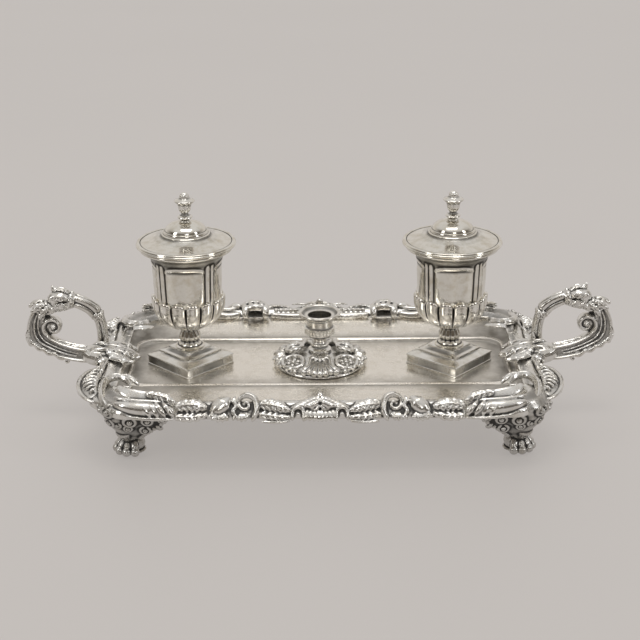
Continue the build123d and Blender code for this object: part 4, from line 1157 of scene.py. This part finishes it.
def make_lid(name, centre, body):
    top = curve([(31.2, 82.4), (31.9, 82.8), (31.95, 83.4), (31.5, 83.8)], 7) + [(31.3, 83.9)]
    top += curve([(31.4, 84.0), (31.5, 84.5), (31.0, 84.95), (30.4, 85.0)], 6)
    groove = [(29.8, 84.95), (29.4, 84.7), (29.1, 84.6), (28.8, 84.7), (28.4, 84.95)]
    cone = curve([(28.2, 85.0), (24.0, 85.9), (19.6, 87.2), (16.6, 88.7), (15.7, 89.4)], 22)
    band = [(15.5, 89.6), (15.5, 90.1), (15.2, 90.4), (14.7, 90.5)]
    band += curve([(14.5, 90.6), (14.4, 91.5), (14.0, 92.2)], 6)
    dome = [(13.5, 92.3)]
    dome += curve([(13.3, 92.4), (12.4, 94.2), (10.4, 95.9), (7.4, 97.2), (4.6, 97.9), (1.6, 98.0)], 30)
    under = [(1.55, 96.4), (3.4, 96.4), (9.0, 94.4), (11.6, 91.4), (13.4, 87.8), (15.8, 84.8),
             (15.8, 78.0), (17.0, 78.0), (17.0, 82.4)]
    profile = smooth_profile(top + groove + cone + band + dome + under + [(31.0, 82.4)], 1.2)
    shape = Shape()
    shape.lathe(profile[:-1], centre, 160, close=True)
    turned(name, shape, turned_silver, body, angle=38)


def make_finial(name, centre, body):
    profile = [(0.4, 92.8), (1.5, 92.8), (1.5, 97.4)]
    profile += curve([(3.4, 97.5), (3.9, 98.2), (3.3, 98.9)], 6)
    profile += curve([(2.6, 99.1), (2.5, 99.6), (3.3, 100.0)], 5)
    profile += curve([(4.4, 100.1), (4.9, 100.8), (4.2, 101.5)], 6)
    profile += curve([(3.0, 101.8), (2.2, 102.6), (2.4, 103.4)], 7)
    profile += curve([(2.9, 104.0), (3.9, 105.6), (4.3, 107.6), (4.6, 109.2), (5.6, 110.3)], 18)
    profile += curve([(6.2, 110.6), (6.6, 111.2), (6.2, 111.8)], 6)
    profile += curve([(5.2, 112.1), (3.9, 112.7), (3.1, 113.4)], 10)
    profile += curve([(3.2, 113.8), (3.0, 115.0), (2.0, 116.3), (1.0, 116.9), (0.2, 117.0)], 12)

    def fluted(theta, r, z):
        zone = fade_in(z, 103.6, 1.0) * fade_out(z, 110.0, 1.0) + fade_in(z, 112.2, 0.8)
        return r * (1 - 0.16 * zone * flutes(theta, 8, 0.96)), z

    shape = Shape()
    shape.lathe(profile, centre, 120, fluted)
    turned(name, shape, plinth_silver, body, angle=55)


URN_SLIPS = {"left": 0.7, "right": 4.0}     # degrees that each urn has turned on its rod


def make_urns():
    for side, sx in (("left", -1), ("right", 1)):
        centre = (sx * URN_X, 0.0)
        make_plinth(f"urn_plinth_{side}", centre, math.radians(45 + URN_SLIPS[side]))
        make_stem(f"urn_stem_{side}", centre)
        make_calyx(f"urn_calyx_{side}", centre)
        make_cup(f"urn_body_{side}", centre)
        make_lid(f"lid_{side}", centre, f"lid_{side}")
        make_finial(f"lid_finial_{side}", centre, f"lid_{side}")


# ---- taperstick ------------------------------------------------------------
def dome_z(r):
    """Height of the foliate base at a radius."""
    return 9.2 - 6.6 * (np.clip(r - 6.0, 0, 26) / 25.5) ** 0.85


def make_base():
    """Low foliate dome: shells in front and behind, framed flowers and hollow rings between."""
    shape = Shape()
    profile = [(0.4, 0.2), (28.6, 0.2), (29.6, 1.0), (29.2, 1.8)]
    profile += [(r, dome_z(r) - 1.2) for r in np.linspace(28.0, 7.0, 26)] + [(6.4, 9.6), (0.4, 9.7)]
    shape.lathe(profile)
    run = Run(shape)

    def polar(r, angle, lift=0.0):
        c, s = heading(angle)
        return (r * c, r * s, float(dome_z(r)) + lift)

    def framed(r, angle, radial, across, tube, lift):
        """Oval ring that lies on the dome. Gives its middle and its two axes."""
        c, s = heading(angle)
        middle = np.array(polar(r, angle, lift))
        out = unit((c, s, -0.3))
        side = np.array([-s, c, 0])
        t = np.radians(np.linspace(0, 352, 26))[:, None]
        run.sweep(middle + out * radial * np.cos(t) + side * across * np.sin(t), [tube], tips=False)
        return middle, out, side

    for deg in (-90, 90):
        way = (*heading(deg), -0.26)
        run.fan(polar(12.5, deg, 0.4), way, (0, 0, 1), 19.0, 76, 7, 1.0, 2.5, cup=0.03, uneven=0.08)
        run.fan(polar(9.0, deg, 1.2), way, (0, 0, 1), 8.6, 120, 7, 0.9, 1.5, cup=0.14)
        for hand in (-1, 1):
            run.sweep([polar(10, deg + hand * 20, 1.0), polar(16, deg + hand * 24, 2.2),
                       polar(22, deg + hand * 20, 2.2), polar(28, deg + hand * 23, 1.6)],
                      [1.0, 1.5, 1.4, 1.0])
    for deg in (-140, -40, 140, 40):
        middle, out, side = framed(22.4, deg, 6.4, 7.8, 1.35, 1.5)
        for t in np.arange(6) * math.pi / 3 + 0.5:
            petal = middle + out * 2.9 * math.cos(t) + side * 3.7 * math.sin(t)
            run.bead(*(petal - (0, 0, 0.4)), 1.3)
        run.bead(*middle, 1.35)
    for deg in (168, 12):
        framed(17.0, deg, 5.2, 5.4, 1.6, 3.0)
        framed(17.0, deg, 3.4, 3.6, 1.1, 1.8)
        for turn in (-34, 34, -17, 17, 0):
            run.leaf([polar(22.5, deg + turn * 0.8, 1.6), polar(27, deg + turn, 1.8),
                      polar(31.2, deg + turn * 1.06, -0.2)], [1.6, 3.4, 1.3],
                     (0.25 * heading(deg)[0], 0, 1), thick=1.3, lobes=2, bite=0.3)
    for deg in (-112, -68, 112, 68, -168, -12):
        run.bead(*polar(28.6, deg, 1.0), 2.0)
    for deg in np.arange(26) * 360 / 26:
        run.sweep([polar(27.4, deg, 0.4), polar(30.0, deg, 0.1)], [1.7, 1.5], [1.4, 1.2])
    casting("taperstick_base", shape, cast_silver, "taperstick", FINE_VOXEL)


def make_stick():
    """Knopped stem, socket with a crown of ribs, and the loose nozzle in it."""
    profile = [(0.4, 9.6), (7.4, 9.6), (7.6, 10.2), (6.9, 10.8)]
    profile += curve([(6.2, 11.0), (5.2, 11.7), (5.0, 12.6)], 6)
    profile += curve([(5.6, 12.8), (6.2, 13.4), (5.8, 14.2)], 8)
    profile += curve([(5.0, 14.5), (4.3, 15.6), (4.2, 16.95)], 8) + [(0.4, 16.95)]

    def knurled(theta, r, z):
        return r * (1 - 0.06 * flutes(theta, 16, 0.95) * bell(z - 13.4, 0.9)), z

    shape = Shape()
    shape.lathe(profile, segments=160, shape=knurled)
    turned("taperstick_stem", shape, plinth_silver, "taperstick")

    outside = [(4.2, 17.0)] + curve([(4.4, 17.05), (5.4, 18.2), (7.4, 19.6), (8.6, 20.6)], 16)
    outside += curve([(9.2, 20.8), (9.9, 21.3), (9.8, 22.4), (9.7, 24.4), (9.9, 25.0), (9.3, 25.5)], 20)
    outside += curve([(8.9, 25.6), (8.5, 26.1), (8.4, 27.0)], 6)
    outside += [(8.4, 28.0), (8.5, 31.0), (8.9, 31.6), (8.9, 31.9), (8.35, 32.0)]
    inside = [(8.3, 31.8), (8.3, 19.8), (0.5, 19.8)]
    profile = smooth_profile([(0.5, 17.0)] + outside + inside, 0.8)

    def crowned(theta, r, z):
        zone = fade_in(z, 20.8, 0.6) * fade_out(z, 25.5, 0.5) * (r > 8.35)
        return r * (1 - 0.085 * zone * flutes(theta, 24, 0.95)), z

    shape = Shape()
    shape.lathe(profile, segments=24 * 12, shape=crowned)
    turned("taperstick_socket", shape, plinth_silver, "taperstick")

    tube = [(0.4, 20.0), (8.2, 20.0), (8.2, 32.05)]
    under = curve([(8.7, 32.3), (10.6, 32.9), (12.4, 33.8), (13.3, 34.3)], 10)
    rim = curve([(13.7, 34.7), (13.7, 35.4), (13.1, 35.9), (12.2, 35.9), (11.6, 35.4)], 12)
    dish = curve([(11.3, 34.9), (10.4, 34.1), (9.2, 33.7), (8.1, 33.6)], 8)
    bore = [(7.7, 33.5), (7.6, 33.0), (7.6, 21.0), (0.4, 21.0)]
    shape = Shape()
    shape.lathe(smooth_profile(tube + under + rim + dish + bore, 1.0), segments=128)
    turned("taperstick_nozzle", shape, plinth_silver, "nozzle", angle=45)


# ---- build -----------------------------------------------------------------
make_tray()
make_long_border("border_front", -1)
make_long_border("border_back", 1)
make_end_border("border_left", -1)
make_end_border("border_right", 1)
make_corners()
make_handles()
make_urns()
make_base()
make_stick()


# ---- stage -----------------------------------------------------------------
def flat_material(name, colour, rough, glow):
    mat, nt, at = new_material(name)
    dim = tuple(c * 0.97 for c in colour[:3]) + (1,)
    paint = mix_colour(nt, noise(nt, at, 3.0, 2.0), colour, dim)
    surface(nt, {"Base Color": paint, "Emission Color": paint, "Emission Strength": glow,
                 "Roughness": rough})
    return mat


def make_stage():
    mesh = bpy.data.meshes.new("floor")
    half = 30.0
    corners = [(-half, -half, 0), (half, -half, 0), (half, half, 0), (-half, half, 0)]
    mesh.from_pydata(corners, [], [(0, 1, 2, 3)])
    floor = bpy.data.objects.new("floor", mesh)
    bpy.context.scene.collection.objects.link(floor)
    floor.location.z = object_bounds()[0][2] - 0.0002
    floor.data.materials.append(flat_material("pale_floor", (0.200, 0.189, 0.181, 1), 0.5, 1.72))


def make_lights():
    world = bpy.data.worlds.new("studio")
    bpy.context.scene.world = world
    world.use_nodes = True
    nt = world.node_tree
    nt.nodes.clear()
    way = node(nt, "ShaderNodeTexCoord").outputs["Generated"]
    split = node(nt, "ShaderNodeSeparateXYZ", {0: way})
    back = ramp(nt, split.outputs["Y"], -0.15, 0.6)
    high = ramp(nt, split.outputs["Z"], 0.38, 0.85)
    room = mix_colour(nt, back, (0.10, 0.085, 0.068, 1), (0.60, 0.57, 0.54, 1))
    room = mix_colour(nt, high, room, (0.62, 0.605, 0.59, 1))
    shade = node(nt, "ShaderNodeBackground", {"Color": room, "Strength": 1.15})
    out = node(nt, "ShaderNodeOutputWorld")
    nt.links.new(shade.outputs[0], out.inputs["Surface"])

    def softbox(name, location, target, size, power, colour=(1, 1, 1)):
        data = bpy.data.lights.new(name, "AREA")
        data.shape = "RECTANGLE"
        data.size, data.size_y = size
        data.energy = power
        data.color = colour
        lamp = bpy.data.objects.new(name, data)
        lamp.location = location
        aim = Vector(target) - Vector(location)
        lamp.rotation_euler = aim.to_track_quat("-Z", "Y").to_euler()
        bpy.context.scene.collection.objects.link(lamp)

    softbox("top", (0.0, -0.15, 1.5), (0, 0, 0), (0.9, 0.5), 4.4, (1.0, 0.98, 0.95))
    softbox("left", (-1.3, -0.75, 0.9), (0, 0, 0.06), (0.35, 0.7), 3.8, (1.0, 0.99, 0.97))
    softbox("right", (1.35, -0.6, 0.8), (0, 0, 0.06), (0.3, 0.7), 3.2, (0.97, 0.98, 1.0))
    softbox("front", (0.25, -1.7, 0.9), (0, 0, 0.05), (0.5, 0.25), 2.2, (1.0, 0.98, 0.95))


CAMERA_ELEVATION = 21.41  # degrees
CAMERA_DISTANCE = 0.9463  # metres
CAMERA_LENS = 81.63       # mm, for a sensor 36 mm wide
CAMERA_ROLL = -0.347      # degrees


def make_camera():
    """View from the front, a little above, with a long lens."""
    elevation = math.radians(CAMERA_ELEVATION)
    data = bpy.data.cameras.new("camera")
    data.sensor_width = 36.0
    data.lens = CAMERA_LENS
    data.clip_end = 100
    cam = bpy.data.objects.new("camera", data)
    aim = Vector((0.00025, 0, (FLOOR + 29.85) * MM))
    cam.location = aim + CAMERA_DISTANCE * Vector((0, -math.cos(elevation), math.sin(elevation)))
    tilt = Euler((math.pi / 2 - elevation, 0, 0)).to_matrix()
    roll = Matrix.Rotation(math.radians(CAMERA_ROLL), 3, "Z")
    cam.rotation_euler = (tilt @ roll).to_euler()
    bpy.context.scene.collection.objects.link(cam)
    bpy.context.scene.camera = cam


make_stage()
make_lights()
make_camera()
bpy.context.scene.view_settings.view_transform = "Standard"
